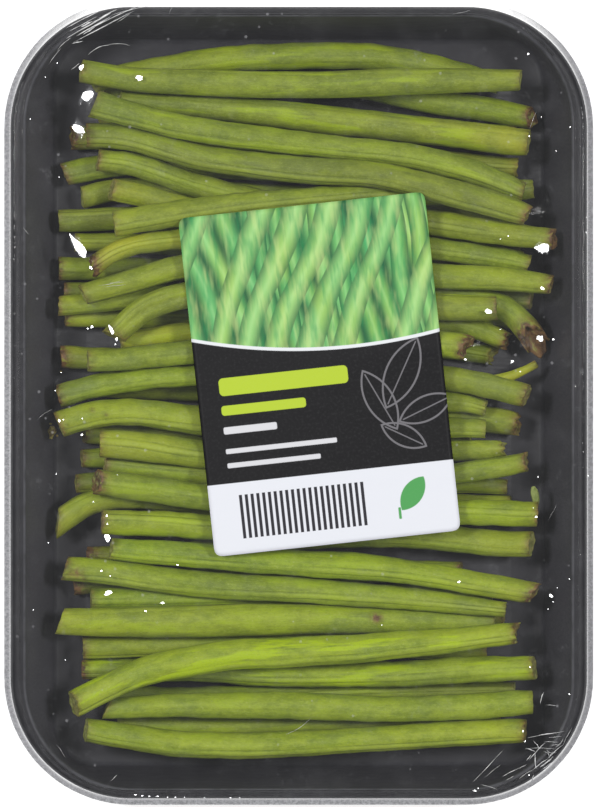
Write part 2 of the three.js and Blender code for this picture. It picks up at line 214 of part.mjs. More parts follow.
// ---- film: lies over rim and beans, runs down the sides and folds in under the tray ----
const filmTop = [];            // x, y and height of the film's upper face
{
  const NC = 7, NX = 8, NY = 12, l = LIP, f = FLOOR;
  const grown = (r, d) => ({ hx: r.hx + d, hy: r.hy + d, rc: Math.max(1, r.rc + d) });
  // inner face, from the hole in the underside up to the rim
  const g = FILM_GAP;
  const rise = [
    [FILM_HOLE, FILM_T], [grown(f, -6), FILM_T], [grown(f, 0.9), FILM_T], [grown(f, 1.6), FILM_T + 0.9],
    [grown(l, FILM_OFF + 0.15), RIM_Z - LIP_DROP - 0.4], [grown(l, FILM_OFF + 0.05), RIM_Z - 2.1],
    [grown(l, g + 0.1), RIM_Z - 0.6], [grown(l, g - 1.1), RIM_Z + 0.08], [grown(l, g - 2.1), RIM_Z + g],
    [grown(OPENING, 0.9), RIM_Z + g],
  ];
  // outer face of the same
  const e = FILM_T;
  const outer = [
    [FILM_HOLE, 0], [grown(f, -6), 0], [grown(f, 0.9 + e * 0.4), 0], [grown(f, 1.6 + e), FILM_T + 0.7],
    [grown(l, FILM_OFF + 0.15 + e), RIM_Z - LIP_DROP - 0.4], [grown(l, FILM_OFF + 0.05 + e), RIM_Z - 2.1 + e * 0.2],
    [grown(l, g + 0.1 + e * 0.75), RIM_Z - 0.6 + e * 0.65], [grown(l, g - 1.1 + e * 0.5), RIM_Z + 0.08 + e * 0.9],
    [grown(l, g - 2.1), RIM_Z + g + e], [grown(OPENING, 0.9), RIM_Z + g + e],
  ];
  const rim = outline(grown(OPENING, 0.9), NC, NX, NY), m = rim.length;
  // heights of the stretched top: pulled flat between rim and beans, never below them
  const xy = [], h = [], low = [];
  for (let j = 0; j < FILM_RINGS; j++) {
    const s = 1 - j / FILM_RINGS;
    const row = rim.map(([x, y]) => [x * s, y * s]);
    xy.push(row);
    low.push(row.map(([x, y]) => (j ? Math.max(highest(x, y, FILM_REACH) + g, 0) : 0)));
    h.push(row.map((_, i) => (j ? Math.max(RIM_Z + g, low[j][i]) : RIM_Z + g)));
  }
  let lowC = highest(0, 0, FILM_REACH) + g, hC = lowC;
  for (let it = 0; it < 500; it++) {
    for (let j = 1; j < FILM_RINGS; j++) {
      for (let i = 0; i < m; i++) {
        const a = h[j][(i + 1) % m], b = h[j][(i + m - 1) % m];
        const c = h[j - 1][i], d = j + 1 < FILM_RINGS ? h[j + 1][i] : hC;
        const p = xy[j][i], q = xy[j][(i + 1) % m], r = xy[j - 1][i];
        const wa = 1 / Math.max(0.5, Math.hypot(p[0] - q[0], p[1] - q[1]));
        const wc = 1 / Math.max(0.5, Math.hypot(p[0] - r[0], p[1] - r[1]));
        h[j][i] = Math.max(low[j][i], ((a + b) * wa + (c + d) * wc) / (2 * wa + 2 * wc));
      }
    }
    hC = Math.max(lowC, h[FILM_RINGS - 1].reduce((s, v) => s + v, 0) / m);
  }
  const points = [], faces = [];
  const put = (ring, z) => { const i = points.length; ring.forEach(([x, y], k) => points.push([x, y, Array.isArray(z) ? z[k] : z])); return i; };
  // inner face, facing the beans
  const inn = rise.map(([r, z]) => put(outline(r, NC, NX, NY), z));
  for (let j = 1; j < FILM_RINGS; j++) inn.push(put(xy[j], h[j]));
  for (let s = 0; s + 1 < inn.length; s++) band(faces, inn[s + 1], inn[s], m);
  const ci = points.push([0, 0, hC]) - 1;
  // outer face
  const out = outer.map(([r, z]) => put(outline(r, NC, NX, NY), z));
  for (let j = 1; j < FILM_RINGS; j++) out.push(put(xy[j], h[j].map((v) => v + FILM_T)));
  for (let s = 0; s + 1 < out.length; s++) band(faces, out[s], out[s + 1], m);
  const co = points.push([0, 0, hC + FILM_T]) - 1;
  const li = inn[inn.length - 1], lo = out[out.length - 1];
  for (let k = 0; k < m; k++) {
    const n = (k + 1) % m;
    faces.push([ci, li + n, li + k], [co, lo + k, lo + n]);
  }
  band(faces, inn[0], out[0], m);      // the edge round the hole
  for (let k = lo; k < co; k++) filmTop.push(points[k]);
  for (const i of out.slice(rise.length - 1)) for (let k = 0; k < m; k++) filmTop.push(points[i + k]);
  filmTop.push(points[co]);
  add('film', points, faces, 'film');
}

// ---- label: lies on the film, turned a little ----
{
  const { x, y, w, h, turn, t, r } = LABEL, a = THREE.MathUtils.degToRad(turn);
  const NU = 8, NV = 11, points = [], faces = [];
  const at = (u, v) => [x + u * Math.cos(a) - v * Math.sin(a), y + u * Math.sin(a) + v * Math.cos(a)];
  const zs = [];
  for (let j = 0; j <= NV; j++) {
    zs.push([]);
    for (let i = 0; i <= NU; i++) {
      let [px, py] = at((i / NU - 0.5) * w, (j / NV - 0.5) * h), z = 0;
      for (const [fx, fy, fz] of filmTop) if (Math.hypot(fx - px, fy - py) < 12.5) z = Math.max(z, fz);
      zs[j].push(z + 0.25);
    }
  }
  const id = (j, i, k) => (j * (NU + 1) + i) * 2 + k;
  for (let j = 0; j <= NV; j++) for (let i = 0; i <= NU; i++) {
    let u = (i / NU - 0.5) * w, v = (j / NV - 0.5) * h;
    const ci = (i === 0 || i === NU), cj = (j === 0 || j === NV);
    if (ci && cj) { u -= Math.sign(u) * r * 0.3; v -= Math.sign(v) * r * 0.3; }   // rounded corners
    const [px, py] = at(u, v);
    let z = 0, n = 0;
    for (const [dj, di] of [[0, 0], [0, 0], [1, 0], [-1, 0], [0, 1], [0, -1]]) {
      const q = zs[j + dj]?.[i + di];
      if (q !== undefined) { z += q; n++; }
    }
    z = Math.max(zs[j][i], z / n);
    points.push([px, py, z], [px, py, z + t]);
  }
  for (let j = 0; j < NV; j++) for (let i = 0; i < NU; i++) {
    faces.push([id(j, i, 1), id(j, i + 1, 1), id(j + 1, i + 1, 1)], [id(j, i, 1), id(j + 1, i + 1, 1), id(j + 1, i, 1)]);
    faces.push([id(j, i, 0), id(j + 1, i + 1, 0), id(j, i + 1, 0)], [id(j, i, 0), id(j + 1, i, 0), id(j + 1, i + 1, 0)]);
  }
  const edge = [];
  for (let i = 0; i < NU; i++) edge.push([0, i]);
  for (let j = 0; j < NV; j++) edge.push([j, NU]);
  for (let i = NU; i > 0; i--) edge.push([NV, i]);
  for (let j = NV; j > 0; j--) edge.push([j, 0]);
  edge.forEach(([j, i], k) => {
    const [j2, i2] = edge[(k + 1) % edge.length];
    faces.push([id(j, i, 0), id(j2, i2, 0), id(j2, i2, 1)], [id(j, i, 0), id(j2, i2, 1), id(j, i, 1)]);
  });
  add('label', points, faces, 'label');
}

export default group;
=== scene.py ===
import math
import bpy
import numpy as np
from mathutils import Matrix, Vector


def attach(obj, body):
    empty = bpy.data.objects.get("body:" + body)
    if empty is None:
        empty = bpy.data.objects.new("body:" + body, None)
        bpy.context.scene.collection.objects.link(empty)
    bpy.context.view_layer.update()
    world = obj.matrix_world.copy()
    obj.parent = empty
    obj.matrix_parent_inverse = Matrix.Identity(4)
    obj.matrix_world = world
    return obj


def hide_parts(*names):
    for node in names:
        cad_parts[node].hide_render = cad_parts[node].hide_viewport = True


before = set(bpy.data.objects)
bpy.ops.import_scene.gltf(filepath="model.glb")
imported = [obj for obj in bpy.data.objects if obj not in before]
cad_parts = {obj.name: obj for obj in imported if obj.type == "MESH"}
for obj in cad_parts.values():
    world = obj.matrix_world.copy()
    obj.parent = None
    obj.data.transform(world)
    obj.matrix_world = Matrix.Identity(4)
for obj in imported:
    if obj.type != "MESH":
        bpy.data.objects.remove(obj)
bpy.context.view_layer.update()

MM = 0.001
RIM_Z = 18.6
WALL = 0.7
BASE_Z = 0.6
OPENING = (61.0, 86.4, 24.0)
FLOOR = (56.5, 83.5, 10.0)
LIP = (64.9, 89.1, 27.2)
LIP_DROP = 3.6
HOLE = (27.0, 46.0, 14.0)
LABEL = dict(x=4.66, y=6.29, w=55.4, h=76.2, turn=6.2, r=1.7)

# name, colour, slant of the left and right cut, then x, y, z and radius along the bean (millimetres)
BEANS = [
    ("bean_01", "olive", 0, 0, [(-46.44, 72.61, 9.56, 2.38), (-40.16, 74.3, 9.4, 2.58), (-25.69, 76.84, 9.05, 2.89), (-14.36, 78.25, 8.78, 3), (0.32, 78.87, 8.43, 3.15), (15.03, 78.76, 8.08, 3.13), (23.16, 77.94, 7.88, 3.03), (32.75, 75.85, 7.65, 2.88), (45.44, 72.61, 7.34, 2.3)]),
    ("bean_02", "olive", 0, 0.12, [(-48.99, 74.73, 15.31, 2.57), (-37.96, 72.89, 15.31, 2.69), (-28.4, 72.3, 15.31, 2.85), (-12.42, 71.74, 15.31, 3.01), (3.56, 71.53, 15.31, 3), (19.53, 72.13, 15.31, 3.06), (35.51, 72.51, 15.31, 2.8), (49.9, 72.63, 15.31, 2.36)]),
    ("bean_03", "olive", 0, -0.15, [(-44.61, 70.89, 4.25, 2.5), (-33.32, 72.03, 4.6, 2.62), (-18.75, 72.52, 5.05, 2.72), (-4.19, 72.66, 5.49, 2.72), (8.73, 72.38, 5.89, 2.72), (16.75, 71.54, 6.14, 2.72), (30.96, 68.59, 6.59, 2.71), (45.3, 66.42, 7.03, 2.63), (53.19, 64.88, 7.28, 2.39)]),
    ("bean_04", "olive", 0.15, -0.2, [(-45.97, 67.12, 16.64, 3.24), (-36.76, 64.64, 16.46, 2.86), (-29.07, 62.59, 16.31, 2.83), (-19.67, 60.88, 16.11, 2.9), (-3.83, 58.88, 15.77, 2.83), (12.05, 57.05, 15.43, 2.75), (24.73, 55.6, 15.26, 2.92), (35.64, 53.04, 15.09, 2.92), (43.23, 50.5, 14.98, 2.74), (50.59, 47.32, 14.85, 2.46)]),
    ("bean_05", "olive", 0, 0.05, [(-40.46, 68.65, 10.51, 2.06), (-25.82, 67.29, 10.82, 2.5), (-11.19, 66.02, 11.13, 2.98), (3.4, 64.4, 11.43, 3.36), (17.97, 62.73, 11.74, 3.25), (32.53, 61.12, 12.04, 3.18), (47.06, 59.27, 12.35, 3.25), (51.91, 58.83, 12.45, 2.96)]),
    ("bean_06", "olive", 0, 0.15, [(-47.82, 60.41, 12.27, 2.86), (-41.37, 60.25, 12.82, 2.97), (-36.64, 59.42, 13.23, 2.88), (-24.24, 55.76, 14.33, 2.95), (-16.35, 54.38, 15.01, 3), (-0.42, 52.42, 16.37, 3.13), (15.55, 51.27, 17.71, 2.98), (21.91, 50.21, 17.85, 3.01), (35.92, 46.68, 17.79, 3.12), (46.74, 43.6, 17.88, 2.83), (51.31, 42.04, 17.87, 2.35)]),
    ("bean_07", "olive", 0, 0, [(-51.79, 60.65, 4.63, 2.86), (-35.35, 60.31, 4.61, 2.83), (-18.93, 59.63, 4.58, 2.83), (-2.49, 58.67, 4.58, 2.83), (13.94, 57.49, 4.54, 2.78), (30.31, 55.61, 4.51, 2.61), (45.07, 54.09, 4.48, 2.38), (50, 53.78, 4.47, 2.3)]),
    ("bean_08", "olive", -0.15, 0, [(-53.43, 52.15, 6.17, 2.79), (-45.64, 53.78, 6.03, 2.81), (-37.73, 54.62, 5.89, 2.75), (-26.59, 54.41, 5.69, 2.75), (-10.68, 53.48, 5.39, 2.75), (5.21, 52.43, 5.05, 2.75), (21.08, 51.05, 4.72, 2.73), (36.96, 49.51, 4.39, 2.63), (46.46, 48.51, 4.15, 2.4)]),
    ("bean_09", "olive", 0.1, 0.1, [(-45.42, 54.85, 12.05, 2.55), (-38.98, 54.17, 11.78, 2.72), (-32.75, 52.42, 11.51, 2.84), (-23.52, 49.26, 11.12, 2.87), (-10.86, 46.21, 10.57, 2.83), (-1.27, 44.31, 10.25, 2.8), (13.23, 42.16, 10.47, 2.89), (21.25, 41.31, 11.26, 2.97), (29.23, 40.77, 12.13, 3.13), (44.97, 38.36, 13.79, 2.88), (55.96, 36.93, 15.01, 2.54), (57.53, 36.85, 15.22, 2.46)]),
    ("bean_10", "olive", 0.15, 0, [(-49.46, 46.96, 5.28, 2.53), (-44.69, 48.18, 5.23, 2.54), (-39.87, 48.63, 5.18, 2.57), (-25.38, 48.29, 5.04, 2.68), (-10.93, 47.43, 4.9, 2.73), (3.51, 46.57, 4.76, 2.73), (17.96, 45.57, 4.61, 2.72), (32.42, 44.4, 4.45, 2.64), (46.84, 42.94, 4.3, 2.43), (48.45, 42.74, 4.28, 2.4)]),
    ("bean_11", "olive", 0, 0, [(-42.32, 48.32, 11.85, 2.52), (-32.81, 46.14, 11.31, 2.61), (-20.25, 42.54, 10.55, 2.66), (-5.9, 39.45, 9.66, 2.69), (8.65, 37.23, 8.9, 2.72), (23.35, 35.86, 8.42, 2.69), (38.02, 34.29, 7.92, 2.54), (47.71, 32.85, 7.57, 2.36), (50.93, 32.27, 7.45, 2.29)]),
    ("bean_12", "olive", 0, 0, [(-54.67, 41.5, 5.92, 2.62), (-38.45, 42.04, 5.46, 2.68), (-22.22, 42.11, 4.99, 2.7), (-6.01, 41.59, 4.54, 2.71), (10.18, 40.55, 4.46, 2.71), (26.37, 39.42, 4.42, 2.67), (42.52, 38.04, 4.39, 2.54), (50.59, 37.22, 4.36, 2.4)]),
    ("bean_13", "olive", 0.05, 0, [(-41.42, 40.15, 17.05, 2.96), (-27.14, 42.53, 16.67, 3.13), (-12.78, 44.42, 16.28, 2.94), (0.04, 45.58, 15.93, 2.83), (8.06, 46.19, 15.17, 2.81), (19.26, 46.92, 13.26, 2.78), (33.8, 47.27, 11, 2.65), (46.78, 48.08, 9.1, 2.42), (53.31, 48.66, 7.94, 2.3)]),
    ("bean_14", "green", 0, 0, [(-51.15, 36.66, 4.19, 2.15), (-39.74, 36.56, 4.24, 2.28), (-23.47, 35.63, 4.32, 2.54), (-7.19, 34.83, 4.37, 2.62), (9.08, 33.69, 4.37, 2.62), (25.35, 32.13, 4.33, 2.58), (41.58, 30.19, 4.26, 2.43), (49.68, 29.02, 4.23, 2.29)]),
    ("bean_15", "green", 0.35, 0.1, [(-46.55, 30.46, 14.45, 2.32), (-42.63, 33.29, 14.47, 2.32), (-39.74, 34.67, 14.49, 2.35), (-35.08, 35.92, 14.51, 2.4), (-25.45, 37.04, 14.56, 2.47), (-10.92, 37.71, 14.62, 2.5), (2.01, 37.4, 14.58, 2.57), (14.93, 36.68, 14.15, 2.6), (31.03, 34.56, 13.51, 2.63), (45.52, 32.58, 12.89, 2.48), (51.91, 31.31, 12.61, 2.29)]),
    ("bean_16", "green", 0, 0, [(-54.7, 30.63, 5.61, 2.75), (-38.33, 30.58, 5.37, 2.71), (-21.94, 30.16, 5.13, 2.71), (-5.55, 29.28, 4.89, 2.71), (10.83, 28.09, 4.63, 2.71), (27.17, 26.63, 4.41, 2.61), (43.48, 24.89, 4.21, 2.46), (53.22, 23.52, 4.1, 2.26)]),
    ("bean_17", "green", -0.2, 0.1, [(-48.65, 24.41, 13.97, 2.37), (-36.18, 27.85, 14.1, 2.66), (-28.44, 30.16, 14.2, 2.76), (-18.87, 31.83, 14.32, 2.78), (-12.4, 32.28, 14.4, 2.76), (3.8, 31.8, 14.61, 2.8), (15.09, 30.87, 14.77, 2.82), (29.49, 28.68, 14.98, 2.91), (45.63, 27.78, 15.22, 2.71), (56.89, 26.67, 15.38, 2.2)]),
    ("bean_18", "green", 0, 0, [(-53.56, 25.51, 4.32, 2.14), (-37.31, 25.26, 4.35, 2.48), (-21.07, 24.67, 4.37, 2.62), (-4.83, 23.72, 4.37, 2.62), (11.39, 22.55, 4.37, 2.62), (27.6, 21.15, 4.37, 2.61), (43.8, 19.62, 4.37, 2.45), (50.29, 19.08, 4.36, 2.27)]),
    ("bean_19", "green", 0.1, 0, [(-54.4, 22.07, 9.43, 2.3), (-38.17, 23.48, 9.57, 2.51), (-21.97, 25.26, 9.69, 2.62), (-4.08, 26.09, 9.77, 2.69), (13.83, 26.05, 9.87, 2.73), (28.47, 25.6, 9.84, 2.74), (38.19, 24.48, 9.8, 2.76), (42.91, 23.32, 9.79, 2.81), (45.85, 22.01, 9.77, 2.91), (48.49, 20.18, 9.77, 2.97), (51.79, 16.66, 9.76, 3.1), (53.58, 13.96, 9.75, 3.05)]),
    ("bean_20", "green", 0, 0, [(-53.13, 19.36, 5.49, 2.03), (-38.41, 19.09, 5.11, 2.27), (-23.68, 18.68, 4.74, 2.44), (-8.96, 18.07, 4.28, 2.51), (-0.76, 17.47, 4.28, 2.53), (13.78, 15.32, 4.29, 2.53), (28.32, 13.2, 4.29, 2.51), (42.84, 10.97, 4.29, 2.37), (44.45, 10.68, 4.29, 2.35)]),
    ("bean_21", "green", -0.35, 0, [(-41.51, 14.91, 16.41, 2.73), (-38.24, 18.23, 16.27, 2.85), (-35.78, 20.25, 16.25, 2.91), (-33.04, 21.82, 16.2, 2.96), (-28.58, 23.42, 16.12, 2.99), (-22.33, 24.56, 16.05, 2.98), (-12.78, 25.24, 15.91, 2.89), (-3.23, 25, 15.79, 2.9), (11.09, 23.74, 15.6, 2.94), (25.36, 22, 15.42, 3.02), (34.91, 21.32, 15.3, 3.02), (44.48, 21.44, 15.23, 2.6)]),
    ("bean_22", "green", 0, 0, [(-40.31, 13.79, 10.67, 2.14), (-32.3, 14.79, 10.08, 2.37), (-25.9, 15.75, 9.6, 2.47), (-17.85, 15.73, 8.99, 2.49), (-8.24, 14.88, 8.27, 2.49), (4.46, 12.61, 7.26, 2.49), (12.36, 10.63, 7.02, 2.47), (26.39, 6.69, 7.82, 2.3), (32.65, 5.01, 8.15, 2.12), (37.39, 4.43, 8.4, 1.93), (42.16, 4.56, 8.64, 1.6), (46.78, 5.52, 8.9, 1.24), (51.14, 7.38, 9.16, 0.96), (53.93, 8.86, 9.32, 0.86)]),
    ("bean_23", "green", -0.15, 0.1, [(-54.3, 10.39, 4.86, 2.66), (-42.84, 9.95, 6, 2.72), (-26.55, 10.12, 7.63, 2.72), (-13.57, 9.92, 8.88, 2.74), (2.59, 8.91, 10.96, 2.77), (15.42, 8.37, 12.39, 2.78), (24.95, 7.08, 13.02, 2.78), (40.57, 4.16, 14.2, 2.86), (51.33, 1.61, 14.98, 2.73)]),
    ("bean_24", "green", 0, 0, [(-47.49, 9.51, 14.82, 2.6), (-41.01, 9.73, 14.57, 2.64), (-26.49, 11.24, 14.14, 2.85), (-15.21, 12.63, 13.81, 2.86), (-2.31, 14.5, 13.18, 2.81), (8.9, 16.32, 11.9, 2.79), (20.2, 17.82, 10.76, 2.71), (29.98, 18.39, 9.77, 2.59), (34.84, 18, 9.29, 2.54), (41.2, 16.32, 8.63, 2.47), (47.36, 14.02, 7.96, 2.2)]),
    ("bean_25", "green", 0.05, 0.1, [(-54.33, 1.45, 9.74, 2.73), (-44.94, 3.95, 10.87, 2.73), (-35.34, 5.27, 12.01, 2.57), (-20.91, 6.37, 13.71, 2.43), (-6.61, 8.2, 15.39, 2.62), (4.44, 9.89, 16.74, 2.78), (13.95, 11.45, 17.22, 2.89), (26.66, 13.04, 17.75, 3.12), (31.43, 13.2, 17.76, 3.18), (36.17, 12.67, 17.92, 3.01), (37.75, 12.31, 17.99, 2.91)]),
    ("bean_26", "green", -0.1, 0, [(-54.14, -4.98, 12.95, 3), (-47.96, -3.06, 12.83, 3.09), (-43.19, -2.3, 12.73, 3.09), (-36.72, -2.26, 12.61, 3.12), (-27.06, -3.42, 12.42, 3.34), (-20.65, -4.13, 12.29, 3.44), (-6.04, -4, 12.01, 3.21), (3.67, -3.55, 11.82, 3.06), (14.91, -1.74, 11.6, 2.88), (26.2, -0.1, 11.38, 2.68), (32.68, 0.32, 11.26, 2.59), (37.49, -0.12, 11.17, 2.36), (42.25, -1.35, 11.09, 1.97)]),
    ("bean_27", "green", 0, 0, [(-48.99, -7.22, 3.97, 2.12), (-39.19, -7.47, 4.25, 2.44), (-24.52, -6.97, 4.67, 2.52), (-9.88, -6.24, 5.09, 2.58), (4.72, -5.28, 5.51, 2.64), (19.3, -4.12, 5.93, 2.72), (33.89, -3.38, 6.36, 2.84), (43.61, -3.95, 6.64, 3.02), (50.03, -4.91, 6.82, 2.61)]),
    ("bean_28", "green", 0, 0, [(-44.75, -9.31, 14.43, 3.27), (-36.7, -9.72, 14.17, 3.45), (-23.89, -11.43, 13.75, 3.37), (-17.46, -11.62, 13.54, 3.3), (-4.51, -10.9, 13.12, 3.02), (6.74, -9.68, 12.75, 2.83), (19.56, -7.48, 12.27, 2.61), (30.85, -5.91, 11.86, 2.48), (38.97, -5.76, 11.57, 2.27), (42.23, -5.91, 11.46, 2.15)]),
    ("bean_29", "green", 0, 0, [(-49.51, -12.66, 5.18, 2.17), (-41.29, -12.48, 5.09, 2.5), (-28.12, -12.59, 4.94, 2.61), (-14.96, -12.54, 4.79, 2.62), (-1.8, -11.95, 4.63, 2.62), (11.32, -10.99, 4.47, 2.6), (24.43, -9.84, 4.32, 2.53), (37.57, -8.93, 4.16, 2.36), (39.21, -8.82, 4.14, 2.33)]),
    ("bean_30", "green", 0, 0, [(-43.93, -13.87, 9.59, 2.13), (-29.44, -15.79, 9.72, 2.54), (-21.35, -16.38, 9.79, 2.62), (-8.38, -15.97, 9.91, 2.61), (6.15, -14.69, 10.06, 2.6), (20.57, -12.44, 10.27, 2.53), (33.44, -11.05, 10.45, 2.4), (43.13, -10.65, 10.59, 2.18), (46.36, -10.42, 10.63, 1.88)]),
    ("bean_31", "green", 0, 0, [(-50.9, -18.52, 4.22, 2.22), (-39.58, -17.93, 4.24, 2.41), (-25.03, -17.85, 4.28, 2.53), (-10.49, -17.82, 4.28, 2.53), (4.06, -17.85, 4.28, 2.53), (18.61, -17.82, 4.19, 2.44), (33.11, -18.33, 4.09, 2.22), (47.61, -19.15, 3.99, 1.66)]),
    ("bean_32", "green", 0, 0.12, [(-45.69, -17.87, 14.08, 2.95), (-32.98, -19.58, 13.89, 3.18), (-21.88, -21.3, 13.73, 3.09), (-12.29, -21.35, 13.59, 2.99), (2.15, -20.67, 13.38, 2.79), (14.9, -19.09, 13.19, 2.62), (29.23, -17.03, 12.98, 2.42), (43.54, -14.84, 12.77, 2.37), (51.45, -13.37, 12.65, 2.19)]),
    ("bean_33", "green", 0.75, 0, [(-54.84, -27.43, 8.53, 2.88), (-49.4, -23.89, 8.25, 2.8), (-46.46, -22.56, 8.11, 2.7), (-43.37, -21.82, 7.96, 2.6), (-36.88, -21.64, 7.68, 2.54), (-28.72, -22.21, 7.32, 2.53), (-17.31, -23.47, 6.81, 2.53), (-0.92, -24.29, 6.09, 2.53), (15.51, -23.86, 5.37, 2.51), (31.97, -23.25, 4.66, 2.46), (46.82, -23.39, 4.01, 2.24), (48.47, -23.45, 3.95, 2.2)]),
    ("bean_34", "bright", 0, 0.08, [(-44.46, -27.06, 12.03, 2.91), (-31.53, -27.4, 12.19, 3.05), (-20.25, -28.21, 12.34, 3.05), (-7.33, -27.74, 12.5, 2.97), (7.17, -26.63, 12.68, 2.94), (21.64, -25.22, 12.84, 2.94), (36.16, -24.72, 12.88, 3.04), (50.69, -25.15, 12.94, 3.04), (53.92, -25.11, 12.95, 2.91)]),
    ("bean_35", "bright", 0, 0.1, [(-48.42, -34.85, 3.89, 2.12), (-36.86, -34.94, 4.74, 2.36), (-23.72, -33.98, 5.72, 2.58), (-7.43, -31.79, 6.94, 2.77), (5.6, -30.53, 7.92, 2.86), (21.92, -30.04, 9.16, 2.98), (30.02, -30.51, 9.86, 3.03), (44.55, -31.84, 11.08, 3.05), (52.64, -31.96, 11.77, 2.91)]),
    ("bean_36", "bright", 0.1, 0.5, [(-42.32, -32.97, 13.49, 2.42), (-31.14, -33.88, 13.45, 2.85), (-16.78, -35.05, 13.39, 2.93), (-2.4, -36.14, 13.34, 2.99), (12, -36.94, 13.3, 3.22), (24.75, -38.21, 13.25, 2.84), (38.97, -40.67, 13.21, 2.79), (50.05, -42.46, 13.17, 2.65), (53.22, -42.91, 13.16, 2.42)]),
    ("bean_37", "bright", 0.25, 0, [(-52.86, -37.5, 12.13, 2.73), (-43.2, -38.22, 12.25, 2.9), (-30.44, -40.17, 12.39, 3.02), (-14.36, -41.58, 12.55, 3.05), (1.74, -42.5, 12.69, 2.94), (17.82, -43.71, 12.81, 2.78), (33.86, -45.27, 12.94, 2.39), (46.66, -46.78, 13.04, 1.79)]),
    ("bean_38", "bright", 0, 0, [(-47.15, -44.53, 9.07, 2.61), (-32.51, -44.48, 8.28, 2.74), (-17.83, -44.33, 7.49, 2.67), (-3.13, -44.22, 6.67, 2.65), (11.59, -43.97, 5.81, 2.62), (26.33, -43.84, 4.94, 2.49), (41.11, -43.88, 4.06, 2.19), (44.39, -43.91, 3.87, 2.09)]),
    ("bean_39", "bright", 0, 0, [(-51.4, -41.89, 4.36, 2.22), (-41.61, -40.99, 4.37, 2.54), (-28.52, -40.4, 4.37, 2.62), (-15.43, -39.81, 4.37, 2.62), (-2.31, -39.31, 4.37, 2.62), (10.81, -38.83, 4.37, 2.62), (23.93, -38.53, 4.37, 2.62), (37.06, -38.86, 4.37, 2.41)]),
    ("bean_40", "bright", 0.35, 0.1, [(-53.94, -49.41, 12.76, 3), (-39.48, -49.65, 12.3, 3.44), (-25.01, -49.53, 11.81, 3.65), (-10.52, -49.22, 11.33, 3.72), (3.99, -49.13, 10.81, 3.33), (18.52, -49.31, 10.29, 3.03), (33.07, -49.58, 9.77, 2.72), (44.4, -49.97, 9.37, 2.32)]),
    ("bean_41", "bright", 0, 0, [(-49.13, -55.85, 6.84, 2.52), (-34.64, -55.41, 6.41, 2.65), (-20.14, -54.8, 5.97, 2.67), (-7.23, -54.55, 5.59, 2.7), (7.32, -54.7, 5.15, 2.7), (20.24, -55.29, 4.75, 2.68), (34.79, -56.23, 4.31, 2.54), (42.89, -56.41, 4.06, 2.31)]),
    ("bean_42", "bright", 0.15, 0.1, [(-50.6, -67.99, 14.93, 3.09), (-40.51, -62.9, 14.85, 3.06), (-34.49, -60.57, 14.81, 3.27), (-26.65, -58.62, 14.75, 3.44), (-15.45, -57.01, 14.67, 3.44), (-0.92, -56.2, 14.57, 3.44), (15.24, -55.34, 14.46, 3.29), (31.36, -53.87, 14.35, 2.96), (47.46, -52.19, 14.24, 2.55), (49.07, -52.01, 14.23, 2.46)]),
    ("bean_43", "bright", 0, -0.12, [(-49.29, -60.98, 4.53, 2.37), (-32.84, -60.87, 5.81, 2.58), (-21.38, -61.09, 6.71, 2.71), (-8.32, -61.8, 7.74, 2.84), (7.98, -61.94, 9.02, 2.9), (24.21, -61.43, 10.3, 3.06), (40.37, -60.46, 11.58, 3.11), (53.26, -59.95, 12.61, 2.74)]),
    ("bean_44", "bright", 0, 0, [(-43.35, -66.51, 4.19, 2.31), (-28.72, -67.31, 4.24, 2.45), (-14.1, -67.25, 4.29, 2.54), (0.53, -66.72, 4.33, 2.58), (15.16, -66.3, 4.32, 2.57), (29.79, -66.02, 4.29, 2.51), (44.43, -65.97, 4.26, 2.28), (49.31, -66.05, 4.25, 2.16)]),
    ("bean_45", "bright", 0.45, 0.05, [(-43.59, -69.26, 11.35, 2.38), (-30.73, -68.63, 11.49, 2.74), (-16.24, -68.5, 11.64, 3.06), (-1.76, -68.6, 11.79, 3.22), (12.7, -69.12, 11.94, 3.03), (25.56, -69.33, 12.07, 2.92), (40, -68.6, 12.22, 3.03), (49.62, -67.99, 12.32, 2.91), (52.83, -67.78, 12.35, 2.69)]),
    ("bean_46", "bright", 0, 0, [(-41.51, -73.16, 4.23, 2.29), (-28.53, -73.95, 4.27, 2.44), (-15.55, -73.95, 4.31, 2.54), (-2.56, -73.48, 4.36, 2.61), (10.42, -72.92, 4.34, 2.59), (23.39, -72.2, 4.32, 2.57), (36.35, -71.36, 4.3, 2.49), (46.09, -71.08, 4.29, 2.27)]),
    ("bean_47", "bright", -0.1, 0.05, [(-48.11, -73.98, 11.69, 2.78), (-32.25, -76.65, 11.68, 3.03), (-22.63, -77.46, 11.68, 3.05), (-6.54, -77.53, 11.67, 3.08), (7.91, -76.67, 11.66, 2.92), (23.98, -75.74, 11.65, 2.92), (40.04, -74.69, 11.64, 2.94), (51.29, -74.34, 11.63, 2.69)]),
    ("bean_48", "green", 0, 0, [(-45.66, 65.87, 4.3, 2.4), (-30.84, 65.91, 4.36, 2.57), (-17.69, 65.76, 4.41, 2.65), (-2.93, 64.48, 4.46, 2.71), (11.84, 63.29, 4.46, 2.71), (26.59, 62.23, 4.46, 2.7), (41.37, 61.44, 4.46, 2.54), (49.59, 61.1, 4.46, 2.4)]),
    ("bean_49", "green", 0, 0, [(-46.58, 3.68, 4.2, 2.32), (-32.25, 3.02, 4.26, 2.47), (-17.91, 2.7, 4.32, 2.56), (-3.58, 2.74, 4.37, 2.62), (10.74, 3.07, 4.35, 2.6), (23.47, 3.16, 4.28, 2.53), (32.99, 2.4, 4.22, 2.44), (42.52, 1.05, 4.12, 2.32)]),
    ("bean_50", "green", 0, 0, [(-46.51, -48.64, 4.21, 2.32), (-32.01, -49.07, 4.26, 2.47), (-17.53, -49.33, 4.32, 2.57), (-3.05, -49.25, 4.37, 2.62), (11.42, -49.15, 4.35, 2.6), (25.89, -48.95, 4.28, 2.52), (40.36, -48.58, 4.22, 2.39), (46.78, -48.37, 4.19, 2.32)]),
]

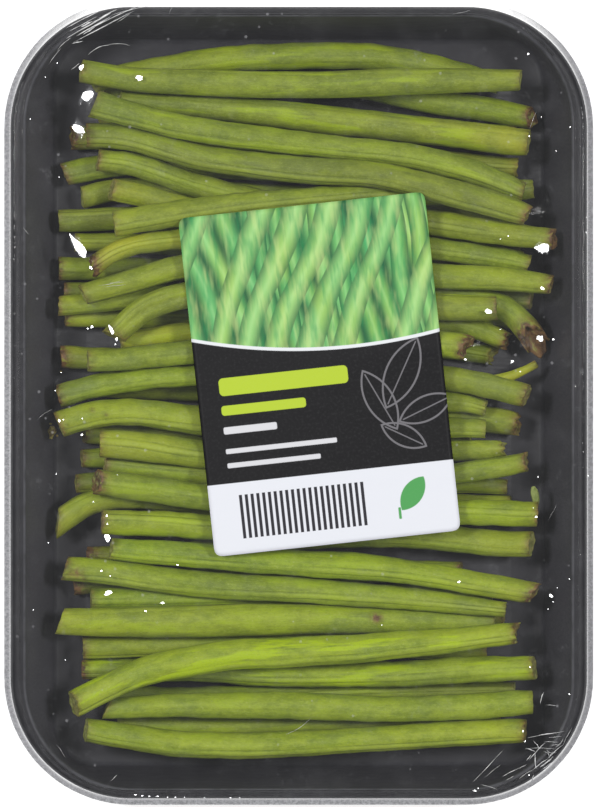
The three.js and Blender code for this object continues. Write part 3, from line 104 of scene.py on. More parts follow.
# what sets single beans apart
# the dull values given to a few deep beans are painted shade
SPECIAL = {
    "bean_07": {'brown': (0.7, 0.35), 'yr': 0.6, 'rag': (0.2, 0.1), 'reach': (2.2, 1.3)},
    "bean_15": {'yel': 0.1, 'yl': 0.95, 'yr': 0.0, 'brown': (1.0, 0.3), 'face': 1.75, 'rag': (0.3, 0.08), 'reach': (2.2, 1.2), 'hollow': (0.9, 0), 'lined': 1.0, 'twist': 0.3},
    "bean_21": {'groove': 0.5, 'groove_at': 1.75, 'groove_mid': 0.14, 'brown': (0.45, 0.4), 'face': 0.5, 'reach': (1.6, 1.2)},
    "bean_09": {'tilt': (0.1, 0.15), 'lime': 0.3, 'brown': (0.4, 1.0), 'rag': (0.08, 0.22), 'reach': (1.2, 1.1)},
    "bean_03": {'tilt': (0.1, 0.35), 'brown': (0.5, 0.75), 'rag': (0.1, 0.35), 'reach': (1.2, 1.5), 'hollow': (0, 0.6)},
    "bean_19": {'brown': (0.4, 1.0), 'rag': (0.1, 0.62), 'reach': (1.3, 3.0), 'hollow': (0, 2.2), 'yr': 0.1, 'tilt': (0.1, 0.95)},
    "bean_25": {'brown': (0.55, 1.0), 'rag': (0.1, 0.35), 'reach': (1.4, 1.3), 'tilt': (0.1, 0.25)},
    "bean_27": {'brown': (0.5, 0.6), 'rag': (0.1, 0.3), 'reach': (1.2, 1.5), 'hollow': (0, 0.6)},
    "bean_32": {'tilt': (0.3, 0.3), 'brown': (0.65, 0.5), 'rag': (0.25, 0.2), 'face': 1.1, 'reach': (1.8, 1.2)},
    "bean_17": {'brown': (0.3, 0.55), 'reach': (1.2, 1.6)},
    "bean_43": {'lime': 0.9, 'brown': (0.85, 0.35), 'face': 1.95, 'twist': -0.5, 'lined': 0.9},
    "bean_24": {'brown': (0.3, 0.7), 'reach': (1.2, 1.3), 'rag': (0.08, 0.4), 'hollow': (0, 0.8), 'tilt': (0.1, 0.4)},
    "bean_23": {'brown': (0.8, 0.45), 'reach': (2.0, 1.3)},
    "bean_20": {'tilt': (0.1, 0.3), 'brown': (0.5, 0.35), 'yl': 0.5, 'hollow': (0, 1.4), 'rag': (0.1, 0.5), 'reach': (1.4, 1.0)},
    "bean_22": {'yel': 0.3, 'yr': 0.5, 'brown': (0.3, 0.4)},
    "bean_42": {'tone': 1.0, 'lime': 1.9, 'yel': 0.14, 'yl': 0.16, 'yr': 0.18, 'rag': (0.14, 0.36), 'face': 2.25, 'twist': -0.7, 'tilt': (0.3, 0.35), 'brown': (0.35, 0.5), 'seeds': 0.5, 'lined': 1.0, 'reach': (1.4, 1.0), 'hollow': (0, 0.6)},
    "bean_06": {'face': 2.25, 'twist': 0.3, 'brown': (0.45, 0.5), 'lined': 1.0},
    "bean_04": {'face': 2.2, 'twist': -0.5, 'lined': 0.8},
    "bean_05": {'lime': 0.6, 'face': 1.2, 'seeds': 0.4, 'yr': 0.6, 'lined': 0.4},
    "bean_02": {'lime': 0.55, 'face': 0.6, 'lined': 0.4, 'tone': 0.12, 'yel': 0.03},
    "bean_01": {'lime': 0.5, 'face': 2.0, 'lined': 0.4, 'tone': 0.4, 'yel': 0.1},
    "bean_36": {'lime': 0.4, 'face': 2.0, 'twist': -0.3, 'yr': 0.4, 'rag': (0.08, 0.2), 'brown': (0.2, 0.7), 'lined': 1.0, 'reach': (1.3, 1.7), 'tone': 0.85},
    "bean_37": {'scars': ((3.0, 1.9, 1.3, 0.6), (5.2, 2.4, 0.8, 0.4)), 'face': 2.0, 'twist': -0.6, 'lined': 0.9, 'tone': 0.38},
    "bean_40": {'scars': ((71.5, 1.35, 1.1, 0.95),), 'seeds': 0.4, 'face': 0.3, 'tone': 0.48, 'lined': 0.4},
    "bean_45": {'face': 2.1, 'twist': 0.3, 'tone': 0.7},
    "bean_47": {'face': 2.2, 'twist': 0.2, 'tone': 0.66},
    "bean_26": {'face': 2.0, 'yel': 0.22, 'scars': ((8.0, 1.2, 0.6, 0.5), (11.0, 1.7, 0.5, 0.4)), 'seeds': 1.3, 'tone': 0.6, 'lined': 0.9},
    "bean_28": {'face': 1.8, 'yl': 0.3, 'tone': 0.55, 'lined': 1.0},
    "bean_30": {'brown': (0.4, 0.3), 'rag': (0.1, 0.35), 'tone': 0.35},
    "bean_34": {'face': 1.3, 'twist': 0.4, 'lined': 0.9},
    "bean_35": {'face': 1.9, 'brown': (0.9, 0.3), 'dull_and_depth_shade': 0.5, 'reach': (3.0, 1.3)},
    "bean_11": {'yl': 0.5, 'brown': (0.35, 0.3), 'reach': (1.3, 1.2)},
    "bean_18": {'brown': (0.6, 0.5)},
    "bean_16": {'brown': (0.5, 0.4)},
    "bean_08": {'brown': (0.5, 0.4), 'reach': (1.4, 1.2)},
    "bean_33": {'brown': (0.25, 0.3), 'yl': 0.3},
    "bean_39": {'brown': (0.9, 0.5), 'reach': (2.6, 1.3), 'dull_and_depth_shade': 0.7},
    "bean_46": {'dull_and_depth_shade': 0.6},
    "bean_44": {'dull_and_depth_shade': 0.8},
}
WORLD = 0.36
# name, place, aim, size and power
LIGHTS = [
    ("key_left", (-0.44, 0.17, 0.80), (0.0, 0.0, 0.0), 0.15, 3.3),
    ("key_right", (0.46, 0.10, 0.80), (0.0, 0.0, 0.0), 0.15, 2.9),
]

# what each bean is like: tone (0 dull olive, 1 bright yellow green), yellowing, browning of the left and right cut,
# how open the cut looks, and the way its seams face (radians)
rng = np.random.default_rng(20)
TONE = {"bean_olive": 0.22, "bean_green": 0.42, "bean_bright": 0.78}


# ---------------------------------------------------------------- meshes
def new_mesh(name, verts, faces, smooth=True, attrs=None, slots=None, mat_index=None):
    me = bpy.data.meshes.new(name)
    me.from_pydata([tuple(v) for v in np.asarray(verts, float) * MM], [], [tuple(int(i) for i in f) for f in faces])
    me.validate(verbose=False)
    if smooth:
        me.polygons.foreach_set("use_smooth", [True] * len(me.polygons))
    for k, (kind, data) in (attrs or {}).items():
        a = me.attributes.new(k, kind, "POINT")
        a.data.foreach_set("vector" if kind == "FLOAT_VECTOR" else "value", np.asarray(data, np.float32).ravel())
    o = bpy.data.objects.new(name, me)
    bpy.context.scene.collection.objects.link(o)
    for m in slots or []:
        me.materials.append(m)
    if mat_index is not None:
        me.polygons.foreach_set("material_index", np.asarray(mat_index, np.int32))
    me.update()
    return o


def outline(shape, nc, nx, ny):
    hx, hy, rc = shape
    pts = []
    ix, iy = hx - rc, hy - rc

    def corner(cx, cy, a0):
        for i in range(nc + 1):
            a = a0 + math.pi / 2 * i / nc
            pts.append((cx + rc * math.cos(a), cy + rc * math.sin(a)))

    def side(ax, ay, bx, by, n):
        for i in range(1, n):
            pts.append((ax + (bx - ax) * i / n, ay + (by - ay) * i / n))

    side(hx, -iy, hx, iy, ny)
    corner(ix, iy, 0)
    side(ix, hy, -ix, hy, nx)
    corner(-ix, iy, math.pi / 2)
    side(-hx, iy, -hx, -iy, ny)
    corner(-ix, -iy, math.pi)
    side(-ix, -hy, ix, -hy, nx)
    corner(ix, -iy, 1.5 * math.pi)
    return np.array(pts)


def grown(s, d):
    return (s[0] + d, s[1] + d, max(1.0, s[2] + d))


def mix(a, b, t):
    return tuple(a[i] + (b[i] - a[i]) * t for i in range(3))


def bands(rows, m, closed_fan=True):
    """Faces of rings laid one after another, m points each."""
    f = []
    for s in range(rows - 1):
        a, b = s * m, (s + 1) * m
        k = np.arange(m)
        n = (k + 1) % m
        f.append(np.column_stack([a + k, a + n, b + n, b + k]))
    return np.vstack(f).tolist()


# ---------------------------------------------------------------- node helper
class Nodes:
    def __init__(self, name):
        self.mat = bpy.data.materials.new(name)
        self.mat.use_nodes = True
        self.t = self.mat.node_tree
        for n in list(self.t.nodes):
            self.t.nodes.remove(n)
        self.out = self.t.nodes.new("ShaderNodeOutputMaterial")
        self.p = self.t.nodes.new("ShaderNodeBsdfPrincipled")
        self.t.links.new(self.p.outputs[0], self.out.inputs[0])

    def put(self, sock, v):
        if hasattr(v, "is_linked") or isinstance(v, bpy.types.NodeSocket):
            self.t.links.new(v, sock)
        else:
            sock.default_value = v

    def set(self, **kw):
        for k, v in kw.items():
            self.put(self.p.inputs[k.replace("_", " ")], v)

    def attr(self, name, out="Fac"):
        n = self.t.nodes.new("ShaderNodeAttribute")
        n.attribute_name = name
        return n.outputs[out]

    def m(self, op, a, b=0.0, c=0.0, clamp=False):
        n = self.t.nodes.new("ShaderNodeMath")
        n.operation = op
        n.use_clamp = clamp
        self.put(n.inputs[0], a)
        self.put(n.inputs[1], b)
        self.put(n.inputs[2], c)
        return n.outputs[0]

    def vec(self, x, y, z):
        n = self.t.nodes.new("ShaderNodeCombineXYZ")
        for i, v in enumerate((x, y, z)):
            self.put(n.inputs[i], v)
        return n.outputs[0]

    def split(self, v):
        n = self.t.nodes.new("ShaderNodeSeparateXYZ")
        self.put(n.inputs[0], v)
        return n.outputs

    def scale(self, v, s):
        n = self.t.nodes.new("ShaderNodeVectorMath")
        n.operation = "MULTIPLY"
        self.put(n.inputs[0], v)
        n.inputs[1].default_value = s
        return n.outputs[0]

    def shift(self, v, s):
        n = self.t.nodes.new("ShaderNodeVectorMath")
        n.operation = "ADD"
        self.put(n.inputs[0], v)
        self.put(n.inputs[1], s)
        return n.outputs[0]

    def noise(self, v, scale=1.0, detail=2.0, rough=0.5, out=0):
        n = self.t.nodes.new("ShaderNodeTexNoise")
        self.put(n.inputs["Vector"], v)
        n.inputs["Scale"].default_value = scale
        n.inputs["Detail"].default_value = detail
        n.inputs["Roughness"].default_value = rough
        return n.outputs[out]

    def voronoi(self, v, scale=1.0, out="Distance"):
        n = self.t.nodes.new("ShaderNodeTexVoronoi")
        self.put(n.inputs["Vector"], v)
        n.inputs["Scale"].default_value = scale
        return n.outputs[out]

    def ramp(self, v, lo, hi, a=0.0, b=1.0):
        n = self.t.nodes.new("ShaderNodeMapRange")
        n.interpolation_type = "SMOOTHSTEP"
        self.put(n.inputs["Value"], v)
        n.inputs["From Min"].default_value = lo
        n.inputs["From Max"].default_value = hi
        n.inputs["To Min"].default_value = a
        n.inputs["To Max"].default_value = b
        return n.outputs["Result"]

    def mixc(self, f, a, b, blend="MIX"):
        n = self.t.nodes.new("ShaderNodeMix")
        n.data_type = "RGBA"
        n.blend_type = blend
        self.put(n.inputs[0], f)
        for i, v in ((6, a), (7, b)):
            self.put(n.inputs[i], v if hasattr(v, "is_linked") else (*v, 1.0))
        return n.outputs[2]

    def bump(self, h, strength, distance, under=None):
        n = self.t.nodes.new("ShaderNodeBump")
        n.inputs["Strength"].default_value = strength
        n.inputs["Distance"].default_value = distance
        self.put(n.inputs["Height"], h)
        if under is not None:
            self.put(n.inputs["Normal"], under)
        return n.outputs[0]

    def coord(self):
        n = self.t.nodes.new("ShaderNodeTexCoord")
        return self.scale(n.outputs["Object"], (1000.0, 1000.0, 1000.0))   # millimetres


def lin(r, g, b):
    f = lambda v: (v / 255 / 12.92) if v / 255 <= 0.04045 else ((v / 255 + 0.055) / 1.055) ** 2.4
    return (f(r), f(g), f(b))


# ---------------------------------------------------------------- materials
def bean_material():
    n = Nodes("bean_skin")
    bc = n.attr("bc", "Vector")
    tone, yel, brown = n.attr("tone"), n.attr("yel"), n.attr("brown")
    cap, lined, dull_and_depth_shade = n.attr("cap"), n.attr("lined"), n.attr("dull_and_depth_shade")
    seed = n.attr("seed")
    cosr, sinr, _ = n.split(n.attr("sr", "Vector"))
    v = n.shift(bc, n.vec(n.m("MULTIPLY", seed, 37.0), n.m("MULTIPLY", seed, 11.0), 0.0))
    streak = n.noise(n.scale(v, (0.050, 0.95, 0.95)), 1.0, 3.0, 0.55)
    fine = n.noise(n.scale(v, (0.55, 4.2, 4.2)), 1.0, 2.0, 0.6)
    patch = n.noise(n.scale(v, (0.07, 0.16, 0.16)), 1.0, 3.0, 0.6)
    mottle = n.noise(n.scale(v, (0.42, 0.55, 0.55)), 1.0, 5.0, 0.68)
    fleck = n.noise(n.scale(v, (1.3, 1.9, 1.9)), 1.0, 1.0, 0.5)
    dots = n.voronoi(v, 0.62)
    dark = n.mixc(tone, lin(94, 112, 29), lin(107, 135, 14))
    light = n.mixc(tone, lin(141, 157, 52), lin(159, 182, 36))
    t = n.m("ADD", n.ramp(mottle, 0.26, 0.74, 0.10, 0.74), n.ramp(patch, 0.30, 0.70, -0.20, 0.30), clamp=True)
    t = n.m("ADD", t, n.ramp(streak, 0.25, 0.75, -0.10, 0.14), clamp=True)
    col = n.mixc(t, dark, light)
    # stretches of fresher and of greyer skin
    col = n.mixc(n.ramp(patch, 0.52, 0.72, 0.0, 0.55), col, n.mixc(tone, lin(149, 172, 34), lin(158, 190, 12)))
    col = n.mixc(n.ramp(patch, 0.46, 0.30, 0.0, 0.45), col, lin(128, 142, 66))
    col = n.mixc(n.ramp(fine, 0.48, 0.78, 0.0, 0.20), col, lin(178, 192, 96))
    col = n.mixc(n.ramp(fine, 0.45, 0.26, 0.0, 0.16), col, lin(88, 104, 30))
    col = n.mixc(n.m("MULTIPLY", yel, n.ramp(patch, 0.30, 0.62, 0.35, 1.0), clamp=True), col, lin(194, 192, 44))
    # greyer, darker skin: random dullness, plus painted shade on the deep beans
    col = n.mixc(n.m("MULTIPLY", dull_and_depth_shade, 0.55), col, lin(104, 112, 46))
    # two seams: a pale ridge with a dark line on both sides of it; the dark lines lie in the modelled grooves beside
    # the ridge and are painted shade
    off = n.m("ABSOLUTE", sinr)
    wand = n.m("MULTIPLY", n.m("SUBTRACT", n.noise(n.scale(v, (0.10, 0.0, 0.0)), 1.0, 2.0), 0.5), 0.10)
    off = n.m("ADD", off, wand)
    which = n.ramp(cosr, -0.2, 0.2, 0.6, 1.0)
    broken = n.ramp(n.noise(n.scale(v, (0.045, 0.3, 0.3)), 1.0, 2.0), 0.34, 0.58, 0.25, 1.0)
    amt = n.m("MULTIPLY", n.m("MULTIPLY", which, broken), lined)
    ridge = n.m("MULTIPLY", n.ramp(off, 0.10, 0.19, 1.0, 0.0), amt)
    line = n.m("MULTIPLY", n.ramp(n.m("ABSOLUTE", n.m("SUBTRACT", off, 0.26)), 0.015, 0.085, 1.0, 0.0), amt)
    col = n.mixc(n.m("MULTIPLY", ridge, 0.30), col, lin(184, 200, 82))
    col = n.mixc(n.m("MULTIPLY", line, 0.40), col, lin(84, 100, 26))
    # long lime stretches, and grain all over
    fresh = n.noise(n.shift(n.scale(v, (0.045, 0.30, 0.30)), (5.0, 9.0, 2.0)), 1.0, 3.0, 0.6)
    col = n.mixc(n.m("MULTIPLY", n.attr("lime"), n.ramp(fresh, 0.50, 0.66), clamp=True), col, lin(170, 194, 2))
    grain = n.noise(n.scale(v, (1.5, 2.6, 2.6)), 1.0, 3.0, 0.7)
    col = n.mixc(n.ramp(grain, 0.52, 0.74, 0.0, 0.26), col, lin(176, 190, 104))
    col = n.mixc(n.ramp(grain, 0.48, 0.28, 0.0, 0.24), col, lin(86, 102, 34))
    # pale dots and a few brown flecks
    col = n.mixc(n.m("MULTIPLY", n.ramp(dots, 0.08, 0.20, 0.15, 0.0), n.ramp(mottle, 0.40, 0.55), clamp=True), col, lin(198, 206, 130))
    col = n.mixc(n.m("MULTIPLY", n.ramp(fleck, 0.70, 0.80, 0.0, 0.45), n.ramp(patch, 0.5, 0.7), clamp=True), col, lin(104, 104, 44))
    # the cut ends: paler flesh, browned where they dried
    flesh = n.mixc(n.ramp(n.noise(n.scale(v, (1.0, 1.1, 1.1)), 1.0, 2.0), 0.35, 0.7), lin(132, 146, 62), lin(186, 192, 112))
    col = n.mixc(n.ramp(cap, 0.35, 0.9), col, flesh)
    bn = n.m("MULTIPLY", brown, n.ramp(n.noise(n.scale(v, (0.9, 1.0, 1.0)), 1.0, 3.0), 0.22, 0.60, 0.25, 1.6), clamp=True)
    col = n.mixc(bn, col, n.mixc(n.ramp(mottle, 0.35, 0.62), lin(74, 50, 26), lin(130, 98, 60)))
    n.set(Base_Color=col, Specular_IOR_Level=0.36)
    n.set(Roughness=n.ramp(mottle, 0.25, 0.75, 0.60, 0.44))
    h = n.m("ADD", n.m("MULTIPLY", streak, 0.25), n.m("MULTIPLY", fine, 0.30))
    h = n.m("ADD", h, n.m("MULTIPLY", mottle, 0.7))
    h = n.m("ADD", h, n.m("SUBTRACT", n.m("MULTIPLY", ridge, 0.35), n.m("MULTIPLY", line, 0.55)))
    b1 = n.bump(n.m("ADD", h, n.m("MULTIPLY", grain, 0.5)), 0.55, 0.00022)
    n.set(Normal=n.bump(n.noise(n.scale(v, (0.20, 0.36, 0.36)), 1.0, 2.0), 0.35, 0.0006, b1))
    n.set(Subsurface_Weight=0.08, Subsurface_Radius=(0.6, 0.9, 0.25), Subsurface_Scale=0.0010)
    return n.mat


def tray_material():
    n = Nodes("tray_plastic")
    c = n.coord()
    big = n.noise(c, 0.03, 2.0)
    flow = n.noise(n.scale(c, (0.9, 0.05, 0.5)), 1.0, 3.0, 0.6)
    scuff = n.noise(n.scale(c, (0.25, 2.4, 0.8)), 0.8, 3.0, 0.6)
    col = n.mixc(n.ramp(big, 0.3, 0.7), lin(25, 24, 29), lin(31, 30, 35))
    col = n.mixc(n.ramp(scuff, 0.60, 0.78, 0.0, 0.14), col, lin(76, 76, 82))
    col = n.mixc(n.ramp(flow, 0.56, 0.74, 0.0, 0.10), col, lin(82, 82, 88))
    # walls painted lighter by the wall weights: painted reflection of the lamps' glare
    col = n.mixc(n.m("MULTIPLY", n.attr("wall"), n.ramp(big, 0.30, 0.70, 0.85, 1.0)), col, lin(84, 83, 89))
    col = n.mixc(n.ramp(n.noise(c, 0.42, 4.0, 0.7), 0.46, 0.72, 0.0, 0.12), col, lin(84, 83, 92))
    # paler along the two bends: painted highlight
    painted_bend_highlight = n.m("MULTIPLY", n.attr("edge"), n.ramp(n.noise(c, 0.25, 3.0), 0.30, 0.62, 0.45, 1.0))
    col = n.mixc(painted_bend_highlight, col, lin(92, 92, 98))
    n.set(Base_Color=col, Roughness=n.ramp(scuff, 0.3, 0.75, 0.44, 0.56), Specular_IOR_Level=0.32)
    n.set(Normal=n.bump(n.noise(c, 0.35, 2.0), 0.10, 0.0002))
    return n.mat


def film_material():
    n = Nodes("film_clear")
    c = n.coord()
    spots = n.voronoi(c, 0.24)
    gate = n.noise(c, 0.045, 2.0)
    haze = n.noise(c, 0.11, 4.0, 0.65)
    smear = n.noise(n.shift(n.scale(c, (1.0, 0.7, 1.0)), (31.0, 7.0, 0.0)), 0.33, 5.0, 0.72)
    speck = n.m("MULTIPLY", n.ramp(spots, 0.05, 0.11, 1.0, 0.0), n.ramp(gate, 0.44, 0.56), clamp=True)
    smudge = n.m("MULTIPLY", n.ramp(smear, 0.56, 0.80), n.ramp(haze, 0.42, 0.62), clamp=True)
    fold, glint, lip = n.attr("fold"), n.attr("glint"), n.attr("lip")
    lines = n.noise(n.scale(c, (1.6, 1.6, 0.25)), 1.0, 4.0, 0.7)
    a = n.m("ADD", n.ramp(haze, 0.40, 0.80, 0.032, 0.056), n.m("MULTIPLY", speck, 0.16))
    a = n.m("ADD", a, n.m("MULTIPLY", smudge, 0.10))
    a = n.m("ADD", a, n.m("MULTIPLY", fold, 0.22))
    dust = n.m("MULTIPLY", n.ramp(n.noise(c, 1.3, 3.0, 0.7), 0.56, 0.74), n.ramp(gate, 0.38, 0.60), clamp=True)
    a = n.m("ADD", a, n.m("MULTIPLY", dust, 0.045))
    # the lip band: bunched film made nearly opaque and light grey, partly painted reflection
    a = n.m("ADD", a, n.m("MULTIPLY", lip, n.ramp(lines, 0.30, 0.70, 0.72, 1.0)))
    # more opaque on the facets so that they read bright: painted highlight beside the real reflection
    a = n.m("ADD", a, n.m("MULTIPLY", glint, 0.34), clamp=True)
    col = n.mixc(n.m("MAXIMUM", speck, smudge), (0.55, 0.56, 0.58), (0.80, 0.80, 0.83))
    band = n.mixc(n.ramp(lines, 0.36, 0.66), (0.28, 0.28, 0.30), (0.54, 0.54, 0.57))
    band = n.mixc(n.attr("lipc"), band, (0.12, 0.12, 0.13))
    col = n.mixc(n.ramp(lip, 0.02, 0.35), col, band)
    n.set(Base_Color=col, Roughness=n.ramp(lip, 0.0, 0.3, 0.075, 0.55), Specular_IOR_Level=n.ramp(lip, 0.0, 0.3, 1.0, 0.35), IOR=1.5, Alpha=a)
    ripple = n.noise(n.scale(c, (0.18, 0.42, 0.3)), 1.0, 2.0)
    n.set(Normal=n.bump(n.m("MULTIPLY", ripple, n.m("SUBTRACT", 1.0, glint)), 0.22, 0.0007))
    return n.mat


def fold_highlight_material():
    # near white and mostly opaque: painted highlight on the creases
    n = Nodes("film_fold_highlight")
    c = n.coord()
    k = n.noise(c, 0.9, 3.0)
    n.set(Base_Color=(0.96, 0.96, 0.97, 1.0), Roughness=0.12, Specular_IOR_Level=1.0, Alpha=n.ramp(k, 0.28, 0.48, 0.65, 1.0))
    n.set(Normal=n.bump(k, 0.3, 0.0003))
    return n.mat


def glint_material():
    """Small taut facets of film that catch the light; pale and half opaque, so part of their brightness is painted
    highlight.
    """
    n = Nodes("film_facet")
    c = n.coord()
    k = n.noise(c, 1.1, 2.0)
    n.set(Base_Color=(0.72, 0.73, 0.75, 1.0), Roughness=n.ramp(k, 0.3, 0.7, 0.10, 0.16), Specular_IOR_Level=1.0, IOR=1.5, Alpha=0.55)
    return n.mat


def label_material():
    """Invented print: leaf blades above, a dark field with leaf outlines and bars, a pale field with even bars below."""
    n = Nodes("label_print")
    lu, lv = n.attr("lu"), n.attr("lv")
    L = lambda op, a, b=0.0, c=0.0, clamp=False: n.m(op, a, b, c, clamp)

    def step(d, soft=0.10):   # 1 inside, where d < 0
        return n.ramp(d, -soft, soft, 1.0, 0.0)

    def box(x0, x1, y0, y1, r=0.0):
        dx = L("SUBTRACT", L("ABSOLUTE", L("SUBTRACT", lu, (x0 + x1) / 2)), (x1 - x0) / 2 - r)
        dy = L("SUBTRACT", L("ABSOLUTE", L("SUBTRACT", lv, (y0 + y1) / 2)), (y1 - y0) / 2 - r)
        if r == 0:
            return L("MAXIMUM", dx, dy)
        qx, qy = L("MAXIMUM", dx, 0.0), L("MAXIMUM", dy, 0.0)
        q = L("SQRT", L("ADD", L("MULTIPLY", qx, qx), L("MULTIPLY", qy, qy)))
        return L("SUBTRACT", L("ADD", q, L("MINIMUM", L("MAXIMUM", dx, dy), 0.0)), r)

    def disc(x, y, r):
        a, b = L("SUBTRACT", lu, x), L("SUBTRACT", lv, y)
        return L("SUBTRACT", L("SQRT", L("ADD", L("MULTIPLY", a, a), L("MULTIPLY", b, b))), r)

    def leaf(x, y, ang, long, wide):
        # two discs crossing, long tip to tip
        R = (long * long / 4 + wide * wide / 4) / wide
        off = R - wide / 2
        c, s = math.cos(ang), math.sin(ang)
        return L("MAXIMUM", disc(x - s * off, y + c * off, R), disc(x + s * off, y - c * off, R))

    def line_of(d, w):
        return L("SUBTRACT", L("ABSOLUTE", d), w / 2)

    p = n.vec(lu, lv, 0.0)
    # leaf blades: three layers of slanting blades, each shaded across its width
    def blades(ang, width, wob, seed, tint_a, tint_b):
        c, s = math.cos(ang), math.sin(ang)
        across = L("ADD", L("MULTIPLY", lu, c), L("MULTIPLY", lv, s))
        w = n.noise(n.shift(n.scale(p, (0.03, 0.03, 0.0)), (seed, seed * 0.7, 0.0)), 1.0, 1.0)
        across = L("ADD", across, L("MULTIPLY", w, wob))
        q = L("DIVIDE", across, width)
        idx, fr = L("FLOOR", q), L("FRACT", q)
        d = L("ABSOLUTE", L("SUBTRACT", fr, 0.5))
        rnd = L("FRACT", L("MULTIPLY", L("SINE", L("ADD", L("MULTIPLY", idx, 12.9898), seed)), 437.58))
        shade = n.ramp(d, 0.0, 0.5, 1.0, 0.10)
        col = n.mixc(rnd, tint_a, tint_b)
        col = n.mixc(n.ramp(n.noise(n.scale(p, (0.16, 0.05, 0.0)), 1.0, 2.0), 0.42, 0.68, 0.0, 0.55), col, lin(176, 214, 96))
        col = n.mixc(L("SUBTRACT", 1.0, shade), col, lin(16, 84, 54))
        vein = n.ramp(d, 0.0, 0.12, 0.16, 0.0)
        col = n.mixc(vein, col, lin(206, 240, 176))
        return col, rnd, d

    a, _, _ = blades(math.radians(14), 5.2, 9.0, 1.3, lin(74, 180, 108), lin(146, 214, 128))
    b, rb, db = blades(math.radians(-24), 6.4, 7.0, 5.1, lin(98, 196, 120), lin(176, 226, 134))
    c3, rc, dc = blades(math.radians(3), 4.4, 6.0, 9.4, lin(48, 150, 96), lin(128, 206, 116))
    green = n.mixc(L("MULTIPLY", L("GREATER_THAN", rc, 0.55), n.ramp(dc, 0.40, 0.44, 1.0, 0.0)), a, c3)
    green = n.mixc(L("MULTIPLY", L("GREATER_THAN", rb, 0.48), n.ramp(db, 0.36, 0.40, 1.0, 0.0)), green, b)
    green = n.mixc(n.ramp(n.noise(n.scale(p, (0.55, 0.10, 0.0)), 1.0, 2.0, 0.6), 0.44, 0.74, 0.0, 0.42), green, lin(212, 232, 150))
    green = n.mixc(n.ramp(n.noise(n.scale(n.shift(p, (40.0, 3.0, 0.0)), (0.6, 0.12, 0.0)), 1.0, 2.0, 0.6), 0.44, 0.74, 0.0, 0.50), green, lin(24, 150, 84))

    # the fields
    arc = L("SUBTRACT", lv, L("ADD", 43.6, L("MULTIPLY", L("POWER", L("DIVIDE", L("SUBTRACT", lu, 36.0), 36.0), 2.0), 5.2)))
    dark = lin(13, 12, 16)
    col = n.mixc(step(arc), green, dark)
    # leaf outlines on the dark field
    grey = lin(122, 120, 124)
    inside_dark = L("MULTIPLY", step(arc), step(L("SUBTRACT", 16.0, lv)))
    lines = None
    for x, y, ang, lg, wd in ((46.0, 36.5, 1.05, 17.0, 7.0), (40.5, 31.0, 2.0, 15.0, 6.0), (50.5, 28.0, 0.35, 13.0, 5.4), (45.0, 22.5, 2.6, 11.0, 4.6)):
        e = line_of(leaf(x, y, ang, lg, wd), 0.42)
        c, s = math.cos(ang), math.sin(ang)
        mid = L("ABSOLUTE", L("ADD", L("MULTIPLY", L("SUBTRACT", lu, x), -s), L("MULTIPLY", L("SUBTRACT", lv, y), c)))
        rib = L("MAXIMUM", L("SUBTRACT", mid, 0.14), L("ADD", leaf(x, y, ang, lg, wd), 0.5))
        e = L("MINIMUM", e, rib)
        lines = e if lines is None else L("MINIMUM", lines, e)
    col = n.mixc(L("MULTIPLY", step(lines, 0.08), inside_dark), col, grey)
    # accent bars
    lime = lin(190, 214, 56)
    acc = L("MINIMUM", box(5.0, 34.0, 35.6, 39.6, 1.0), box(5.0, 24.0, 31.2, 33.4, 0.7))
    col = n.mixc(step(acc), col, lime)
    pale = L("MINIMUM", box(5.0, 17.0, 27.0, 28.6, 0.4), L("MINIMUM", box(5.0, 30.0, 22.6, 23.7, 0.3), box(5.0, 26.0, 19.4, 20.5, 0.3)))
    col = n.mixc(step(pale), col, lin(226, 226, 230))
    # edge line of the blades
    col = n.mixc(step(line_of(arc, 0.75)), col, lin(240, 243, 246))
    # pale field with even bars
    col = n.mixc(step(L("SUBTRACT", lv, 16.0)), col, lin(238, 240, 247))
    fr = L("FRACT", L("DIVIDE", lu, 1.3))
    bars = L("MAXIMUM", L("MULTIPLY", L("SUBTRACT", L("ABSOLUTE", L("SUBTRACT", fr, 0.5)), 0.27), 1.3), box(6.5, 35.1, 3.4, 13.2))
    col = n.mixc(step(bars, 0.06), col, lin(44, 43, 50))
    spot = L("MINIMUM", leaf(45.6, 9.4, 0.9, 9.0, 4.6), box(42.0, 42.6, 4.0, 6.6, 0.2))
    col = n.mixc(step(spot), col, lin(86, 168, 92))
    fibre = n.noise(n.scale(p, (1.6, 1.6, 1.0)), 1.0, 3.0)
    col = n.mixc(n.ramp(fibre, 0.45, 0.8, 0.0, 0.02), col, lin(210, 212, 214))
    n.set(Base_Color=col, Roughness=n.ramp(fibre, 0.3, 0.7, 0.50, 0.58), Specular_IOR_Level=0.30)
    n.set(Normal=n.bump(n.noise(n.scale(p, (0.12, 0.2, 1.0)), 1.0, 2.0), 0.2, 0.0006))
    return n.mat


def paper_back():
    n = Nodes("label_back")
    c = n.coord()
    f = n.noise(c, 1.4, 3.0)
    n.set(Base_Color=n.mixc(f, lin(214, 212, 206), lin(236, 235, 231)), Roughness=0.8)
    n.set(Normal=n.bump(f, 0.3, 0.0001))
    return n.mat


def crumb_material():
    n = Nodes("crumb")
    c = n.coord()
    k = n.noise(c, 1.6, 3.0)
    n.set(Base_Color=n.mixc(n.ramp(k, 0.35, 0.65), lin(120, 96, 52), lin(186, 176, 92)), Roughness=0.75)
    n.set(Normal=n.bump(k, 0.6, 0.0003))
    return n.mat


def flap_material():
    n = Nodes("bean_skin_flap")
    c = n.coord()
    k = n.noise(n.scale(c, (1.2, 0.5, 1.2)), 1.0, 4.0, 0.6)
    col = n.mixc(n.ramp(k, 0.32, 0.68), lin(112, 126, 56), lin(158, 170, 96))
    col = n.mixc(n.ramp(n.noise(c, 2.4, 2.0), 0.58, 0.76, 0.0, 0.5), col, lin(120, 104, 62))
    n.set(Base_Color=col, Roughness=0.6, Specular_IOR_Level=0.36)
    n.set(Normal=n.bump(k, 0.5, 0.0003))
    return n.mat


